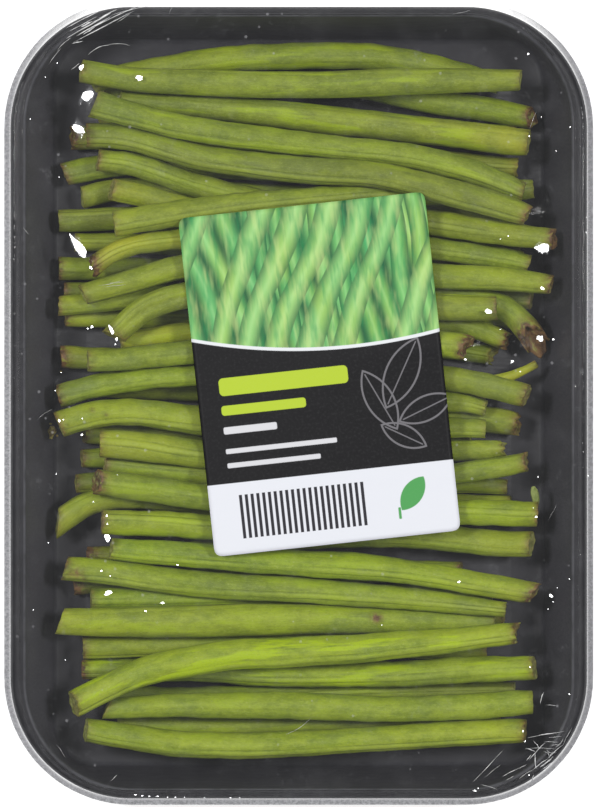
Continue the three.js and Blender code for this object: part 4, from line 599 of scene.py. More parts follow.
# ---------------------------------------------------------------- beans
def curve_of(ctrl, step):
    """Smooth line through the control points, sampled evenly."""
    c = np.array(ctrl, float)
    d = np.r_[0, np.cumsum(np.linalg.norm(np.diff(c[:, :3], axis=0), axis=1))]
    tan = np.zeros_like(c)
    tan[1:-1] = (c[2:] - c[:-2]) / (d[2:] - d[:-2])[:, None]
    tan[0] = 1.5 * (c[1] - c[0]) / (d[1] - d[0]) - 0.5 * tan[1]
    tan[-1] = 1.5 * (c[-1] - c[-2]) / (d[-1] - d[-2]) - 0.5 * tan[-2]
    n = max(20, int(round(d[-1] / step)))
    s = np.linspace(0, d[-1], n + 1)
    k = np.clip(np.searchsorted(d, s, side="right") - 1, 0, len(c) - 2)
    h = (d[k + 1] - d[k])[:, None]
    t = ((s - d[k]) / h[:, 0])[:, None]
    q = (2 * t**3 - 3 * t**2 + 1) * c[k] + (t**3 - 2 * t**2 + t) * h * tan[k] + (-2 * t**3 + 3 * t**2) * c[k + 1] + (t**3 - t**2) * h * tan[k + 1]
    return q, s


ANG = 40
CURVES = []


def make_bean(name, s0, s1, ctrl, look, mat):
    q, s = curve_of(ctrl, 1.0)
    CURVES.append(q)
    long = s[-1]
    n = len(q)
    t = np.gradient(q[:, :3], axis=0)
    t /= np.linalg.norm(t, axis=1)[:, None]
    u = np.cross([0, 0, 1.0], t)
    u /= np.linalg.norm(u, axis=1)[:, None]
    w = np.cross(t, u)
    r = q[:, 3]
    th = np.arange(ANG) * 2 * math.pi / ANG
    g = np.random.default_rng(look["seed"])
    phi = look["face"] + look["twist"] * (s / long - 0.5)
    rel = th[None, :] - phi[:, None]
    # slightly flattened section, two seams, faint swellings over the seeds
    R = r[:, None] * (0.985 + 0.035 * np.cos(2 * rel))
    for k, a in ((0.0, 1.0), (math.pi, 0.65)):
        dd = np.angle(np.exp(1j * (rel - k)))
        R += look["lined"] * a * (0.10 * np.exp(-(dd / 0.15) ** 2) - 0.09 * np.exp(-((np.abs(dd) - 0.30) / 0.13) ** 2))
    per = g.uniform(6.6, 8.4)
    sw = np.cos(2 * math.pi * (s + 1.1 * np.sin(s / 9 + g.uniform(0, 6))) / per + g.uniform(0, 6))
    side = np.sin(rel) ** 2
    R += (look["seeds"] * 0.085 * sw[:, None]) * side
    for _ in range(4):
        f = g.uniform(12, 34)
        R += 0.05 * np.sin(2 * math.pi * s / f + g.uniform(0, 6))[:, None] * np.cos(th[None, :] + g.uniform(0, 6))
    for _ in range(3):
        f = g.uniform(3.0, 6.0)
        R += 0.018 * np.sin(2 * math.pi * s / f + g.uniform(0, 6))[:, None] * np.cos(2 * th[None, :] + g.uniform(0, 6))
    if look["groove"]:
        dd = np.angle(np.exp(1j * (th[None, :] - look["groove_at"])))
        win = np.exp(-((s / long - look["groove_mid"]) / 0.3) ** 2)[:, None]
        R -= look["groove"] * win * np.exp(-(dd / 0.22) ** 2)
    # cut ends lean; the lean fades along the bean
    reach = 4.2 * r.mean()
    wl = np.clip(1 - s / reach, 0, 1)
    wr = np.clip(1 - (long - s) / reach, 0, 1)
    lean = (s0 * wl + s1 * wr)[:, None] * np.cos(th)[None, :] * r[:, None]
    lean = lean + (look["tilt"][0] * wl - look["tilt"][1] * wr)[:, None] * np.sin(th)[None, :] * r[:, None]
    rag0 = look["rag"][0] * sum(g.uniform(0.3, 1) * np.sin(k * th + g.uniform(0, 6)) for k in (1, 2, 3, 5, 8))
    rag1 = look["rag"][1] * sum(g.uniform(0.3, 1) * np.sin(k * th + g.uniform(0, 6)) for k in (1, 2, 3, 5, 8))
    lean = lean + np.exp(-s / 1.6)[:, None] * rag0[None, :] + np.exp(-(long - s) / 1.6)[:, None] * rag1[None, :]
    dirs = u[:, None, :] * np.cos(th)[None, :, None] + w[:, None, :] * np.sin(th)[None, :, None]
    P = q[:, None, :3] + dirs * R[:, :, None] + t[:, None, :] * lean[:, :, None]
    # rows: left cap inwards to outwards, body, right cap
    rows, cap, al = [], [], []

    def caps(i, sign, rag, hollow):
        base = P[i]
        mid = base.mean(axis=0)
        out = []
        for f, dz, c in ((0.0, 0.30, 1.0), (0.30, 0.26, 1.0), (0.55, 0.20, 1.0), (0.78, 0.14, 1.0), (0.90, 0.02, 0.8), (0.965, -0.09, 0.35)):
            ring = mid + (base - mid) * f
            wob = 0.10 * np.sin(3 * th + i + 5 * f) * (f < 0.9) * (f > 0)
            deep = -hollow * (1 - f**2) * (1 + 0.2 * np.sin(2 * th + i) * (f > 0)) if hollow else 0.0
            out.append((ring + sign * t[i] * ((-dz if not hollow else 0.0) + deep + wob)[:, None], c))
        return out

    left, right = caps(0, -1, rag0, look["hollow"][0]), caps(n - 1, 1, rag1, look["hollow"][1])
    for ring, c in left:
        rows.append(ring)
        cap.append(c)
        al.append(0.0)
    for i in range(n):
        rows.append(P[i])
        cap.append(0.0)
        al.append(s[i])
    for ring, c in right[::-1]:
        rows.append(ring)
        cap.append(c)
        al.append(long)
    m = ANG
    V = np.vstack(rows)
    nr = len(rows)
    faces = bands(nr, m)
    # the innermost ring of each cap is one point
    V = np.vstack([V[m:-m], [rows[0][0]], [rows[-1][0]]])
    body = (nr - 2) * m
    faces = [[i - m for i in f] for f in faces if min(f) >= m and max(f) < (nr - 1) * m]
    for k in range(m):
        faces.append([body, (k + 1) % m, k])
        faces.append([body + 1, (nr - 3) * m + k, (nr - 3) * m + (k + 1) % m])
    capv = np.r_[np.repeat(cap[1:-1], m), 1.0, 1.0]
    alv = np.r_[np.repeat(al[1:-1], m), 0.0, long]
    thv = np.r_[np.tile(th, nr - 2), 0, 0]
    rr = np.interp(alv, s, r)
    frac = np.r_[np.repeat([0.3, 0.55, 0.78, 0.9, 0.965] + [1.0] * n + [0.965, 0.9, 0.78, 0.55, 0.3], m), 0.0, 0.0]
    bc = np.column_stack([alv, rr * np.cos(thv) * frac, rr * np.sin(thv) * frac])
    ph = np.interp(alv, s, phi)
    sr = np.column_stack([np.cos(thv - ph), np.sin(thv - ph), np.zeros(len(V))])
    bl, br = look["brown"]
    dl, dr = look["reach"]
    brown = bl * np.exp(-(alv / dl) ** 1.5) + br * np.exp(-((long - alv) / dr) ** 1.5)
    brown = np.clip(brown + 0.12 * (np.exp(-alv / 0.35) + np.exp(-(long - alv) / 0.35)) * (capv < 0.5), 0, 1)
    yel = np.clip(look["yel"] + look["yl"] * np.exp(-alv / 22) + look["yr"] * np.exp(-(long - alv) / 22), 0, 1)
    for sal, sth, rad, amt in look["scars"]:
        dd = np.angle(np.exp(1j * (thv - sth))) * rr
        brown = np.clip(brown + amt * np.exp(-((alv - sal) ** 2 + dd ** 2) / rad ** 2), 0, 1)
    nv = len(V)
    attrs = {
        "bc": ("FLOAT_VECTOR", bc), "tone": ("FLOAT", np.full(nv, look["tone"])), "yel": ("FLOAT", yel),
        "brown": ("FLOAT", brown), "lime": ("FLOAT", np.full(nv, look["lime"])), "cap": ("FLOAT", capv), "sr": ("FLOAT_VECTOR", sr), "lined": ("FLOAT", np.full(nv, look["lined"])),
        "dull_and_depth_shade": ("FLOAT", np.full(nv, look["dull_and_depth_shade"])), "seed": ("FLOAT", np.full(nv, (look["seed"] % 97) / 7.0)),
    }
    o = new_mesh("pod_" + name[-2:], V, faces, attrs=attrs, slots=[mat])
    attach(o, "root")
    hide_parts(name)
    return o


bean_mat = bean_material()
LOOKS = {}
for i, (name, look, s0, s1, ctrl) in enumerate(BEANS):
    # beans lying low in the pile are painted greyer and darker: painted shade where others cover them; the random part
    # is skin that differs from bean to bean
    low = float(np.clip((7.0 - np.mean([c[2] for c in ctrl])) / 2.5, 0, 1))
    tone = TONE["bean_" + look] + float(rng.uniform(-0.14, 0.14))
    LOOKS[name] = dict(
        seed=100 + 7 * i, face=float(rng.uniform(0.2, 2.9)), twist=float(rng.uniform(-0.9, 0.9)), seeds=float(rng.uniform(0.4, 1.2)),
        groove=0.0, groove_at=1.6, groove_mid=0.5, rag=(0.07, 0.07), tone=min(1, max(0, tone)), dull_and_depth_shade=float(rng.uniform(0.0, 0.5)) * (1.1 - tone) + 0.35 * low, lined=float(rng.uniform(0.15, 0.9)), lime=float(rng.uniform(0.0, 0.45)), tilt=(float(rng.uniform(0.0, 0.25)), float(rng.uniform(0.0, 0.25))),
        yel=float(rng.uniform(0.0, 0.16)), yl=float(rng.uniform(0, 0.30)), yr=float(rng.uniform(0, 0.30)), hollow=(0.0, 0.0), reach=(1.3, 1.3),
        brown=(float(rng.uniform(0.05, 0.5)), float(rng.uniform(0.05, 0.5))), scars=())
for name, kw in SPECIAL.items():
    LOOKS[name].update(kw)
for name, look, s0, s1, ctrl in BEANS:
    make_bean(name, s0, s1, ctrl, LOOKS[name], bean_mat)

# ---------------------------------------------------------------- tray
NC, NX, NY = 28, 10, 16
top = grown(OPENING, 0.5)
f_, o_, l_ = FLOOR, OPENING, LIP
skin = [
    (grown(f_, -9), BASE_Z + 0.3), (grown(f_, -8.4), BASE_Z + 0.06), (grown(f_, -8), BASE_Z), (grown(f_, -1.2), BASE_Z), (grown(f_, -0.35), BASE_Z + 0.22),
    (grown(f_, 0.2), BASE_Z + 0.7), (grown(f_, 0.66), BASE_Z + 2.2), (mix(grown(f_, 0.72), grown(o_, 0.72), 0.25), 5.4),
    (mix(grown(f_, 0.72), grown(o_, 0.72), 0.55), 10.0), (mix(grown(f_, 0.72), grown(o_, 0.72), 0.8), 13.6), (grown(o_, 0.75), RIM_Z - 2.0), (grown(o_, 0.9), RIM_Z - 1.4),
    (grown(o_, 1.25), RIM_Z - 0.95), (grown(o_, 1.9), RIM_Z - WALL), (grown(l_, -2.0), RIM_Z - WALL), (grown(l_, -1.5), RIM_Z - 1.0),
    (grown(l_, -1.05), RIM_Z - 1.5), (grown(l_, -0.78), RIM_Z - 2.4), (grown(l_, -0.7), RIM_Z - LIP_DROP + 0.1), (grown(l_, -0.6), RIM_Z - LIP_DROP),
    (grown(l_, -0.1), RIM_Z - LIP_DROP), (l_, RIM_Z - LIP_DROP + 0.12), (grown(l_, -0.03), RIM_Z - 2.9), (grown(l_, -0.1), RIM_Z - 2.2), (grown(l_, -0.25), RIM_Z - 1.5),
    (grown(l_, -0.52), RIM_Z - 0.95), (grown(l_, -0.85), RIM_Z - 0.52), (grown(l_, -1.25), RIM_Z - 0.22), (grown(l_, -1.7), RIM_Z - 0.04), (grown(l_, -2.2), RIM_Z),
    (grown(top, 0.75), RIM_Z), (grown(top, 0.35), RIM_Z + 0.02), (grown(o_, 0.55), RIM_Z - 0.03), (grown(o_, 0.30), RIM_Z - 0.22), (grown(o_, 0.12), RIM_Z - 0.55), (o_, RIM_Z - 1.3),
    (mix(f_, o_, 0.8), 13.9), (mix(f_, o_, 0.55), 10.0), (mix(f_, o_, 0.28), 5.9), (grown(f_, 0.02), BASE_Z + 2.4), (grown(f_, -0.15), BASE_Z + 1.7), (grown(f_, -0.5), BASE_Z + 1.1),
    (grown(f_, -1.3), BASE_Z + WALL), (grown(f_, -7.6), BASE_Z + WALL), (grown(f_, -8.0), BASE_Z + WALL + 0.06), (grown(f_, -8.6), BASE_Z + WALL + 0.3),
]
rings = [np.column_stack([outline(r, NC, NX, NY), np.full(4 * (NC + 1) + 2 * (NX - 1) + 2 * (NY - 1), z)]) for r, z in skin]
m = len(rings[0])
V = np.vstack(rings + [[[0, 0, skin[0][1]]], [[0, 0, skin[-1][1]]]])
faces = bands(len(rings), m)
c0, c1, last = len(V) - 2, len(V) - 1, (len(rings) - 1) * m
for k in range(m):
    nk = (k + 1) % m
    faces.append([c0, nk, k])
    faces.append([c1, last + k, last + nk])
# painted highlight: the two bends of the inside, the flange's inner edge and the foot of the wall, are painted paler
# where their rounding catches the light
edge = [0.0] * len(skin)
edge[32], edge[33], edge[34] = 0.55, 0.75, 0.25
edge[40], edge[41], edge[42] = 0.10, 0.30, 0.10
edge = np.r_[np.repeat(edge, m), 0.0, 0.0]
# painted reflection: the slanting walls are painted lighter, most on the left, standing in for the lamps' glare through
# the film; the inner floor gets a small even share
wall = []
for i, (shape, z) in enumerate(skin):
    p = rings[i][:, :2]
    d = np.sign(p) * np.maximum(np.abs(p) - np.array([shape[0] - shape[2], shape[1] - shape[2]]), 0)
    d = d / np.maximum(np.linalg.norm(d, axis=1), 1e-6)[:, None]
    w = 1.0 * np.clip(-d[:, 0], 0, 1) ** 2 + 0.62 * np.clip(d[:, 0], 0, 1) ** 2 + 0.60 * np.clip(d[:, 1], 0, 1) ** 2 + 0.40 * np.clip(-d[:, 1], 0, 1) ** 2
    k = {34: 0.5, 35: 0.9, 36: 1.0, 37: 1.0, 38: 1.0, 39: 0.9, 40: 0.6, 41: 0.3}.get(i, 0.0)
    wall.append(w * k if i < 42 else np.full(m, 0.14))
wall = np.r_[np.concatenate(wall), 0.0, 0.14]
tray = new_mesh("tray_shell", V, faces, attrs={"edge": ("FLOAT", edge), "wall": ("FLOAT", wall)}, slots=[tray_material()])
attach(tray, "root")
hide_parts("tray")

# ---------------------------------------------------------------- film heights: stretched over rim and beans
G = 0.8
gx = np.arange(-66.4, 66.4 + G / 2, G)
gy = np.arange(-90.4, 90.4 + G / 2, G)
X, Y = np.meshgrid(gx, gy)
low = np.zeros_like(X)
for q in CURVES:
    fine = np.vstack([q[:-1] * (1 - f) + q[1:] * f for f in (0.0, 0.5)] + [q[-1:]])
    for x, y, z, r in fine:
        i0, i1 = np.searchsorted(gx, (x - r, x + r))
        j0, j1 = np.searchsorted(gy, (y - r, y + r))
        sub = r * r - (X[j0:j1, i0:i1] - x) ** 2 - (Y[j0:j1, i0:i1] - y) ** 2
        low[j0:j1, i0:i1] = np.maximum(low[j0:j1, i0:i1], np.where(sub > 0, z + np.sqrt(np.maximum(sub, 0)), 0))
low += 0.16
ax, ay, ar = OPENING[0] + 0.9, OPENING[1] + 0.9, OPENING[2] + 0.9
dx, dy = np.abs(X) - (ax - ar), np.abs(Y) - (ay - ar)
inside = np.where((dx > 0) & (dy > 0), np.hypot(dx, dy) < ar, (np.abs(X) < ax) & (np.abs(Y) < ay))
FILM_RIM = RIM_Z + 0.25
H = np.where(inside, np.maximum(low, FILM_RIM), FILM_RIM)
for it in range(900):
    A = H.copy()
    A[1:-1, 1:-1] = 0.25 * (H[1:-1, :-2] + H[1:-1, 2:] + H[:-2, 1:-1] + H[2:, 1:-1])
    A = H + 1.0 * (A - H)
    H = np.where(inside, np.maximum(A, low), FILM_RIM)
# film is a little stiff: round off the hard creases, still above the beans
for it in range(3):
    A = H.copy()
    A[1:-1, 1:-1] = 0.5 * H[1:-1, 1:-1] + 0.125 * (H[1:-1, :-2] + H[1:-1, 2:] + H[:-2, 1:-1] + H[2:, 1:-1])
    H = np.where(inside, np.maximum(A, low), FILM_RIM)


# small flat facets of film, each tilted towards one of the two main lights so that it mirrors it into the camera; they
# carry painted highlight
GLINTS = [
    (88, 97, 6.4, 4.8, -8, 0), (79, 130, 7.8, 3.4, 28, 0), (79, 247, 4.2, 12.6, -33, 0), (542, 249, 7.0, 4.6, 8, 1),
]
# and single bright points along folds and edges
SPECKS = [
    (82, 68.5, 2.4, 2.6, 0, 0), (140, 79, 3.6, 2.4, 4, 0), (91.5, 268.5, 1.2, 2.0, -30, 0), (112, 330.5, 1.8, 4.4, -22, 0), (117.3, 339.7, 1.3, 1.4, 0, 0), (92.6, 327.4, 1.7, 1.1, -30, 0), (88.4, 329.0, .9, .7, 0, 0),
    (60, 421, 1.0, 1.6, 0, 0), (82.5, 435, 1.1, 1.1, 0, 0), (108, 538, 3.0, 3.6, 0, 0), (109, 593, 4.6, 1.8, -18, 0),
    (163, 603, 2.2, .8, 0, 0), (146, 611, 1.1, .8, 0, 0), (178, 565, 1.0, .8, 0, 0), (102, 571, 1.0, 1.0, 0, 0), (542, 289, 1.9, 1.5, 0, 1), (488, 312, 3.2, 2.4, 0, 1), (540, 339, 3.4, 2.6, 0, 1),
    (553, 340, 1.0, 1.0, 0, 1), (512, 362, 1.6, 1.3, 0, 1), (465, 360, 1.0, 1.0, 0, 1), (536, 517, 1.2, 1.2, 0, 1), (459, 582, 1.4, 1.0, 0, 1), (551, 596, 2.0, 1.4, 20, 1), (528, 55, 1.3, .9, 0, 1),
    (523, 731, .6, 1.3, 20, 1), (525, 741, .5, .8, 20, 1), (382, 625, .6, .4, 0, 1), (530, 667, .5, 1.0, 0, 1),
    (136, 794.5, 1.2, .5, 5, 0), (143, 795.5, 1.0, .4, 0, 0), (150, 796, .7, .4, 0, 0), (158, 796, 1.3, .4, 0, 0), (168, 797, .8, .4, 0, 0), (176, 797, 1.0, .4, 0, 0), (185, 797, .6, .4, 0, 0),
    (205, 797.5, .7, .4, 0, 0), (231, 797.5, .9, .4, 0, 0), (240, 797.5, .6, .4, 0, 0), (475, 790.5, 1.2, .8, 20, 1), (478, 788, .5, .5, 0, 1), (529, 775, .5, .5, 0, 1), (569, 694, .8, .5, 40, 1),
    (58, 64, .5, .5, 0, 0), (46, 78, .6, .4, 60, 0), (31, 120, .4, .7, 0, 0), (57, 474, .5, .5, 0, 0), (49, 543, .5, .5, 0, 0), (56, 391, .6, .6, 0, 0), (64, 420, .6, .6, 0, 0),
    (586, 233, .4, 1.0, 0, 1), (588, 476, .4, .7, 0, 1), (586, 218, .4, .6, 0, 1), (538, 477, .6, .5, 0, 1), (569, 579, .6, .5, 0, 1), (553, 602, .6, .5, 0, 1), (570, 128, .6, .6, 0, 1),
    (556, 152, .5, .5, 0, 1), (118, 475, .4, .4, 0, 0), (94, 502, .5, .5, 0, 0), (62, 373, .6, .4, 0, 0), (508, 237, .7, .5, 0, 1), (500, 240, .6, .4, 0, 1), (111, 576, .8, .5, 0, 0),
    (107.5, 516, .7, 1.2, 0, 0), (108, 524, .6, 1.0, 0, 0), (533, 508, .5, .3, 0, 1), (500, 330, .6, .4, 0, 1), (520, 372, .8, .4, 0, 1), (116, 345, .7, .5, 0, 0), (83, 419, .8, .6, 0, 0), (529, 137, .5, .9, 0, 1),
    (541, 118, .5, .5, 0, 1), (548, 609, .5, .5, 0, 1), (557, 588, .5, .4, 0, 1), (60, 178, .5, .5, 0, 0), (66, 660, .6, .5, 0, 0), (34, 610, .5, .5, 0, 0),
]


def facet_of(px, py, ra, rb, rot, which):
    k = (700.0 + RIM_Z - 19.5) / 700.0
    cx, cy = (px - 299.0) / 4.45 * k, (403.0 - py) / 4.45 * k
    at = np.array([cx, cy, 19.5]) * MM
    to_l = np.array(LIGHTS[which][1]) - at
    to_c = np.array([0.0, 0.0, 0.7186]) - at
    nn = to_l / np.linalg.norm(to_l) + to_c / np.linalg.norm(to_c)
    return (cx, cy, ra / 4.45, rb / 4.45, math.radians(rot), -nn[0] / nn[2], -nn[1] / nn[2])


FACETS = [facet_of(*g) for g in GLINTS]
SPECK_FACETS = [facet_of(*g) for g in SPECKS]


def facet_mask(x, y, f):
    cx, cy, ra, rb, rot, sx, sy = f
    u = (x - cx) * math.cos(rot) - (y - cy) * math.sin(rot)
    v = (x - cx) * math.sin(rot) + (y - cy) * math.cos(rot)
    d = np.sqrt((u / ra) ** 2 + (v / rb) ** 2)
    soft = 1 + 1.3 / min(ra, rb) * 0.8
    return np.clip((soft - d) / (soft - 1.0), 0, 1), d


def height(x, y):
    x, y = np.asarray(x, float), np.asarray(y, float)
    h = plain_height(x, y)
    for f in FACETS:
        m_, _ = facet_mask(x, y, f)
        if not np.any(m_ > 0):
            continue
        m_ = m_ * m_ * (3 - 2 * m_)
        plane = float(plain_height(f[0], f[1])) + 0.10 + f[5] * (x - f[0]) + f[6] * (y - f[1])
        h = h * (1 - m_) + plane * m_
    return h


def glint_of(x, y):
    g_max = np.zeros(len(x))
    for f in FACETS:
        m_, d = facet_mask(x, y, f)
        g_max = np.maximum(g_max, np.clip((1.12 - d) / 0.25, 0, 1))
    return g_max


def plain_height(x, y):
    """Height of the film from the grid, blended with cubic B-spline weights."""
    x, y = np.asarray(x, float), np.asarray(y, float)
    fx = np.clip((x - gx[0]) / G, 1, len(gx) - 2.001)
    fy = np.clip((y - gy[0]) / G, 1, len(gy) - 2.001)
    i, j = fx.astype(int), fy.astype(int)

    def weights(t):
        return ((1 - t) ** 3 / 6, (3 * t**3 - 6 * t**2 + 4) / 6, (-3 * t**3 + 3 * t**2 + 3 * t + 1) / 6, t**3 / 6)

    wx, wy = weights(fx - i), weights(fy - j)
    h = 0.0
    for b in range(4):
        for a in range(4):
            h = h + wx[a] * wy[b] * H[j + b - 1, i + a - 1]
    return h


film_mat = film_material()
NC, NX, NY = 20, 60, 190
e, g_ = 0.15, 0.30
film_rows = [
    (HOLE, 0.15, 0), (grown(HOLE, 3), 0.14, 0), (grown(FLOOR, -18), 0.14, 0), (grown(FLOOR, -11), 0.14, 0), (grown(FLOOR, -6), 0.15, 0), (grown(FLOOR, -2), 0.15, 0), (grown(FLOOR, 0.6), 0.17, 0),
    (grown(FLOOR, 1.25), 0.45, 0), (grown(FLOOR, 1.72), 1.1, 0), (mix(grown(FLOOR, 1.72), grown(LIP, 1.42), 0.22), 4.2, 1), (mix(grown(FLOOR, 1.72), grown(LIP, 1.42), 0.45), 7.3, 1),
    (mix(grown(FLOOR, 1.72), grown(LIP, 1.42), 0.7), 10.6, 1), (mix(grown(FLOOR, 1.72), grown(LIP, 1.42), 0.9), 13.2, 0.5), (grown(LIP, 1.42), RIM_Z - LIP_DROP - 0.4, 0.2), (grown(LIP, 1.40), RIM_Z - 2.9, 0.1),
    (grown(LIP, 1.32), RIM_Z - 2.1, 0.1), (grown(LIP, 1.08), RIM_Z - 1.35, 0), (grown(LIP, 0.66), RIM_Z - 0.76, 0), (grown(LIP, 0.16), RIM_Z - 0.36, 0), (grown(LIP, -0.30), RIM_Z - 0.08, 0),
    (grown(LIP, -0.9), RIM_Z + 0.14, 0), (grown(LIP, -1.7), RIM_Z + 0.23, 0), (grown(LIP, -2.4), FILM_RIM, 0), (grown(OPENING, 1.9), FILM_RIM, 0),
]
base = outline(grown(OPENING, 0.9), NC, NX, NY)
m = len(base)
rows, foldv, lipv, lipc = [], [], [], []
hxy = np.array([OPENING[0] - OPENING[2], OPENING[1] - OPENING[2]])
for shape, z, wav in film_rows:
    p = outline(shape, NC, NX, NY)
    # gathers at the corners: the film is folded in there
    cd = np.abs(p) - hxy[None, :] * 0.98
    corner = np.clip(np.minimum(cd[:, 0], cd[:, 1]) / 9.0, 0, 1)
    ang = np.arctan2(np.maximum(cd[:, 1], 0), np.maximum(cd[:, 0], 1e-3)) + np.pi / 2 * (p[:, 0] > 0) + 2.0 * (p[:, 1] > 0)
    wave = np.sin(ang * 21) * 0.6 + np.sin(ang * 37 + 1.0) * 0.4
    nrm = p / np.linalg.norm(p, axis=1)[:, None]
    p = p + nrm * (0.22 * wav * corner * wave)[:, None]
    zz = z + (0.10 * corner * np.abs(wave) if z < 0.3 else 0)
    rows.append(np.column_stack([p, np.broadcast_to(zz, len(p))]))
    foldv.append(corner * np.clip(np.abs(wave) ** 3, 0, 1) * (0.8 if z < 15 else 0.0))
    # the band over the outer lip is dense on three sides and drawn clear at the far end: bunched film, made light grey
    # as painted reflection; its grey is painted darker on the right side and near the top of the rounding and lighter
    # at the near end, as painted shade
    far = np.clip((p[:, 1] - (shape[1] - shape[2])) / shape[2], 0, 1) ** 3
    side = np.clip((p[:, 0] - (shape[0] - shape[2])) / shape[2], 0, 1)
    near = np.clip((-p[:, 1] - (shape[1] - shape[2])) / shape[2], 0, 1)
    dense = 0.0 if z < 12 or z > RIM_Z else 0.35 if z < 14 else 1.0 if z < RIM_Z - 0.2 else 0.30 if z < RIM_Z - 0.05 else 0.0
    lipv.append(dense * (1 - 0.95 * far))
    lipc.append(np.clip(0.10 + 0.26 * side - 0.12 * near + (0.25 if z > RIM_Z - 0.9 else 0.10 if z > RIM_Z - 1.5 else 0.0), 0, 1))
SCALES = [1 - 0.0078 * j for j in range(46)]
SCALES += [SCALES[-1] * (1 - j / 27) for j in range(1, 27)]
for s in SCALES:
    xy = base * s
    rows.append(np.column_stack([xy, height(xy[:, 0], xy[:, 1])]))
    foldv.append(np.zeros(m))
    lipv.append(np.zeros(m))
    lipc.append(np.zeros(m))
V = np.vstack(rows + [[[0, 0, float(height(0.0, 0.0))]]])
faces = bands(len(rows), m)
last = (len(rows) - 1) * m
for k in range(m):
    faces.append([last + m, last + k, last + (k + 1) % m])
glint = np.where(V[:, 2] > RIM_Z - 0.5, glint_of(V[:, 0], V[:, 1]), 0.0)
film = new_mesh("film_sheet", V, faces, attrs={"fold": ("FLOAT", np.r_[np.concatenate(foldv), 0.0]), "glint": ("FLOAT", glint), "lip": ("FLOAT", np.r_[np.concatenate(lipv), 0.0]), "lipc": ("FLOAT", np.r_[np.concatenate(lipc), 0.0])}, slots=[film_mat])
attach(film, "root")
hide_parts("film")

# pleats: narrow raised creases where the film is pulled round the corners, drawn opaque white: painted highlight of the
# light they catch
PLEATS = [
    (77, 37.6, 112, 18, .34, 0), (82, 28.6, 93, 22.8, .42, 0), (72, 45.2, 135.5, 12, .16, 0), (67, 29.4, 105.4, 9, .22, 0), (67, 39.9, 112, 14.3, .28, 0), (70, 33, 98, 18, .18, 0), (88, 32, 122, 14.5, .18, 0),
    (80, 41, 118, 20.5, .14, 0), (73, 45, 84, 42.5, .26, 0), (89, 56.5, 110, 46.5, .18, 3), (106, 47.5, 131, 47.4, .12, 3), (72, 71.5, 80.6, 64.8, .16, 0), (93, 24.5, 112, 14, .30, 0), (99, 20, 118, 10.5, .20, 0),
    (84, 36, 96, 28.6, .30, 0), (105, 23, 140, 6.5, .16, 0), (112, 17, 150, 7, .14, 1), (58, 52, 72, 39, .14, 1), (50, 66, 62, 50, .12, 1), (118, 24, 131, 15, .12, 0),
    (473, 781.4, 503, 749.3, .13, 0), (502, 775.7, 519, 767, .18, 0), (506, 779.5, 514, 775, .12, 0), (525, 748, 535, 751.4, .22, 1), (535, 752, 536, 768, .26, -1), (528.6, 760, 545.7, 741.4, .18, 1), (533, 740, 540, 748.6, .14, 0),
    (527, 737, 564, 730.7, .14, 0), (538.6, 734.3, 555.7, 732, .14, 0), (548, 737, 561.4, 735.7, .12, 0), (527, 747.9, 555.7, 748.6, .10, 1), (543, 751, 549, 758, .16, 3), (549, 758, 556, 752, .14, 3), (546, 748, 553, 751, .14, -3),
    (539.3, 766.4, 552.9, 755.7, .30, -1), (541.4, 768.6, 556, 758.6, .18, -1), (533, 774.3, 532, 782.9, .24, 0), (480, 784, 497, 789, .12, 1), (540, 703.6, 543.6, 691.4, .22, 1), (545.7, 704.3, 555.7, 705, .12, 0),
    (484, 777, 500, 764, .10, 0), (555, 747, 563, 738, .14, -1), (518, 768, 526, 764, .14, 0), (544, 741, 558, 741.5, .12, 0), (550, 744.5, 558, 744, .10, 0), (531, 754, 526, 760, .20, 0),
    (572, 727, 563, 744, .10, -1), (563, 744, 547, 758.6, .16, -1), (548, 758, 533, 769, .22, -1), (534, 768.5, 519, 778, .12, -1),
    (286, 734, 311, 718, .09, -2), (529, 130, 536, 112, .08, 0), (24, 228, 30, 236, .08, 0), (57, 744, 66, 757, .07, 1),
    (548, 520, 556, 505, .05, 0), (170, 15, 173, 7, .07, 0), (112, 780, 118, 774, .14, 0), (452, 16, 470, 12, .07, 0), (38, 420, 54, 409, .06, 1),
    (99, 286.6, 125, 282.6, .09, 0), (106, 287.6, 127, 285.4, .08, 0), (110, 284.2, 124, 281.4, .06, 0),
]


def from_px(px, py, z):
    k = (700.0 + RIM_Z - z) / 700.0
    return (px - 299.0) / 4.45 * k, (403.0 - py) / 4.45 * k


pv, pf = [], []
for x0, y0, x1, y1, wid, bow in PLEATS:
    a, b = np.array(from_px(x0, y0, RIM_Z)), np.array(from_px(x1, y1, RIM_Z))
    d = b - a
    long = np.linalg.norm(d)
    nrm = np.array([-d[1], d[0]]) / long
    ns = max(6, int(long / 0.7))
    g = np.random.default_rng(int(x0 * 7 + y0))
    ph = g.uniform(0, 6, 3)
    start = len(pv)
    for i in range(ns + 1):
        t = i / ns
        c = a + d * t + nrm * (bow * 0.18 * 4 * t * (1 - t) + 0.035 * math.sin(9 * t + ph[0]))
        wd = 1.2 * wid * (math.sin(math.pi * min(1, max(0, t))) ** 0.6 * 0.9 + 0.1) * (0.8 + 0.25 * math.sin(14 * t + ph[1]))
        for k, (off, up) in enumerate(((-0.5, 0.03), (0.0, 0.10 + 0.35 * wd), (0.5, 0.03))):
            q = c + nrm * off * wd
            # on the rounded lip it follows the film down
            zz = float(height(q[0], q[1]))
            ex = max(0.0, np.hypot(max(abs(q[0]) - (LIP[0] - LIP[2]), 0), max(abs(q[1]) - (LIP[1] - LIP[2]), 0)) - (LIP[2] - 1.6))
            zz -= 0.55 * ex * ex
            pv.append((q[0], q[1], zz + up))
    for i in range(ns):
        for k in range(2):
            j = start + i * 3 + k
            pf.append([j, j + 3, j + 4, j + 1])
    # underside, so that each pleat is closed
    for i in range(ns):
        j = start + i * 3
        pf.append([j, j + 2, j + 5, j + 3])
    pf.append([start, start + 1, start + 2])
    pf.append([start + ns * 3, start + ns * 3 + 2, start + ns * 3 + 1])
folds = len(pf)
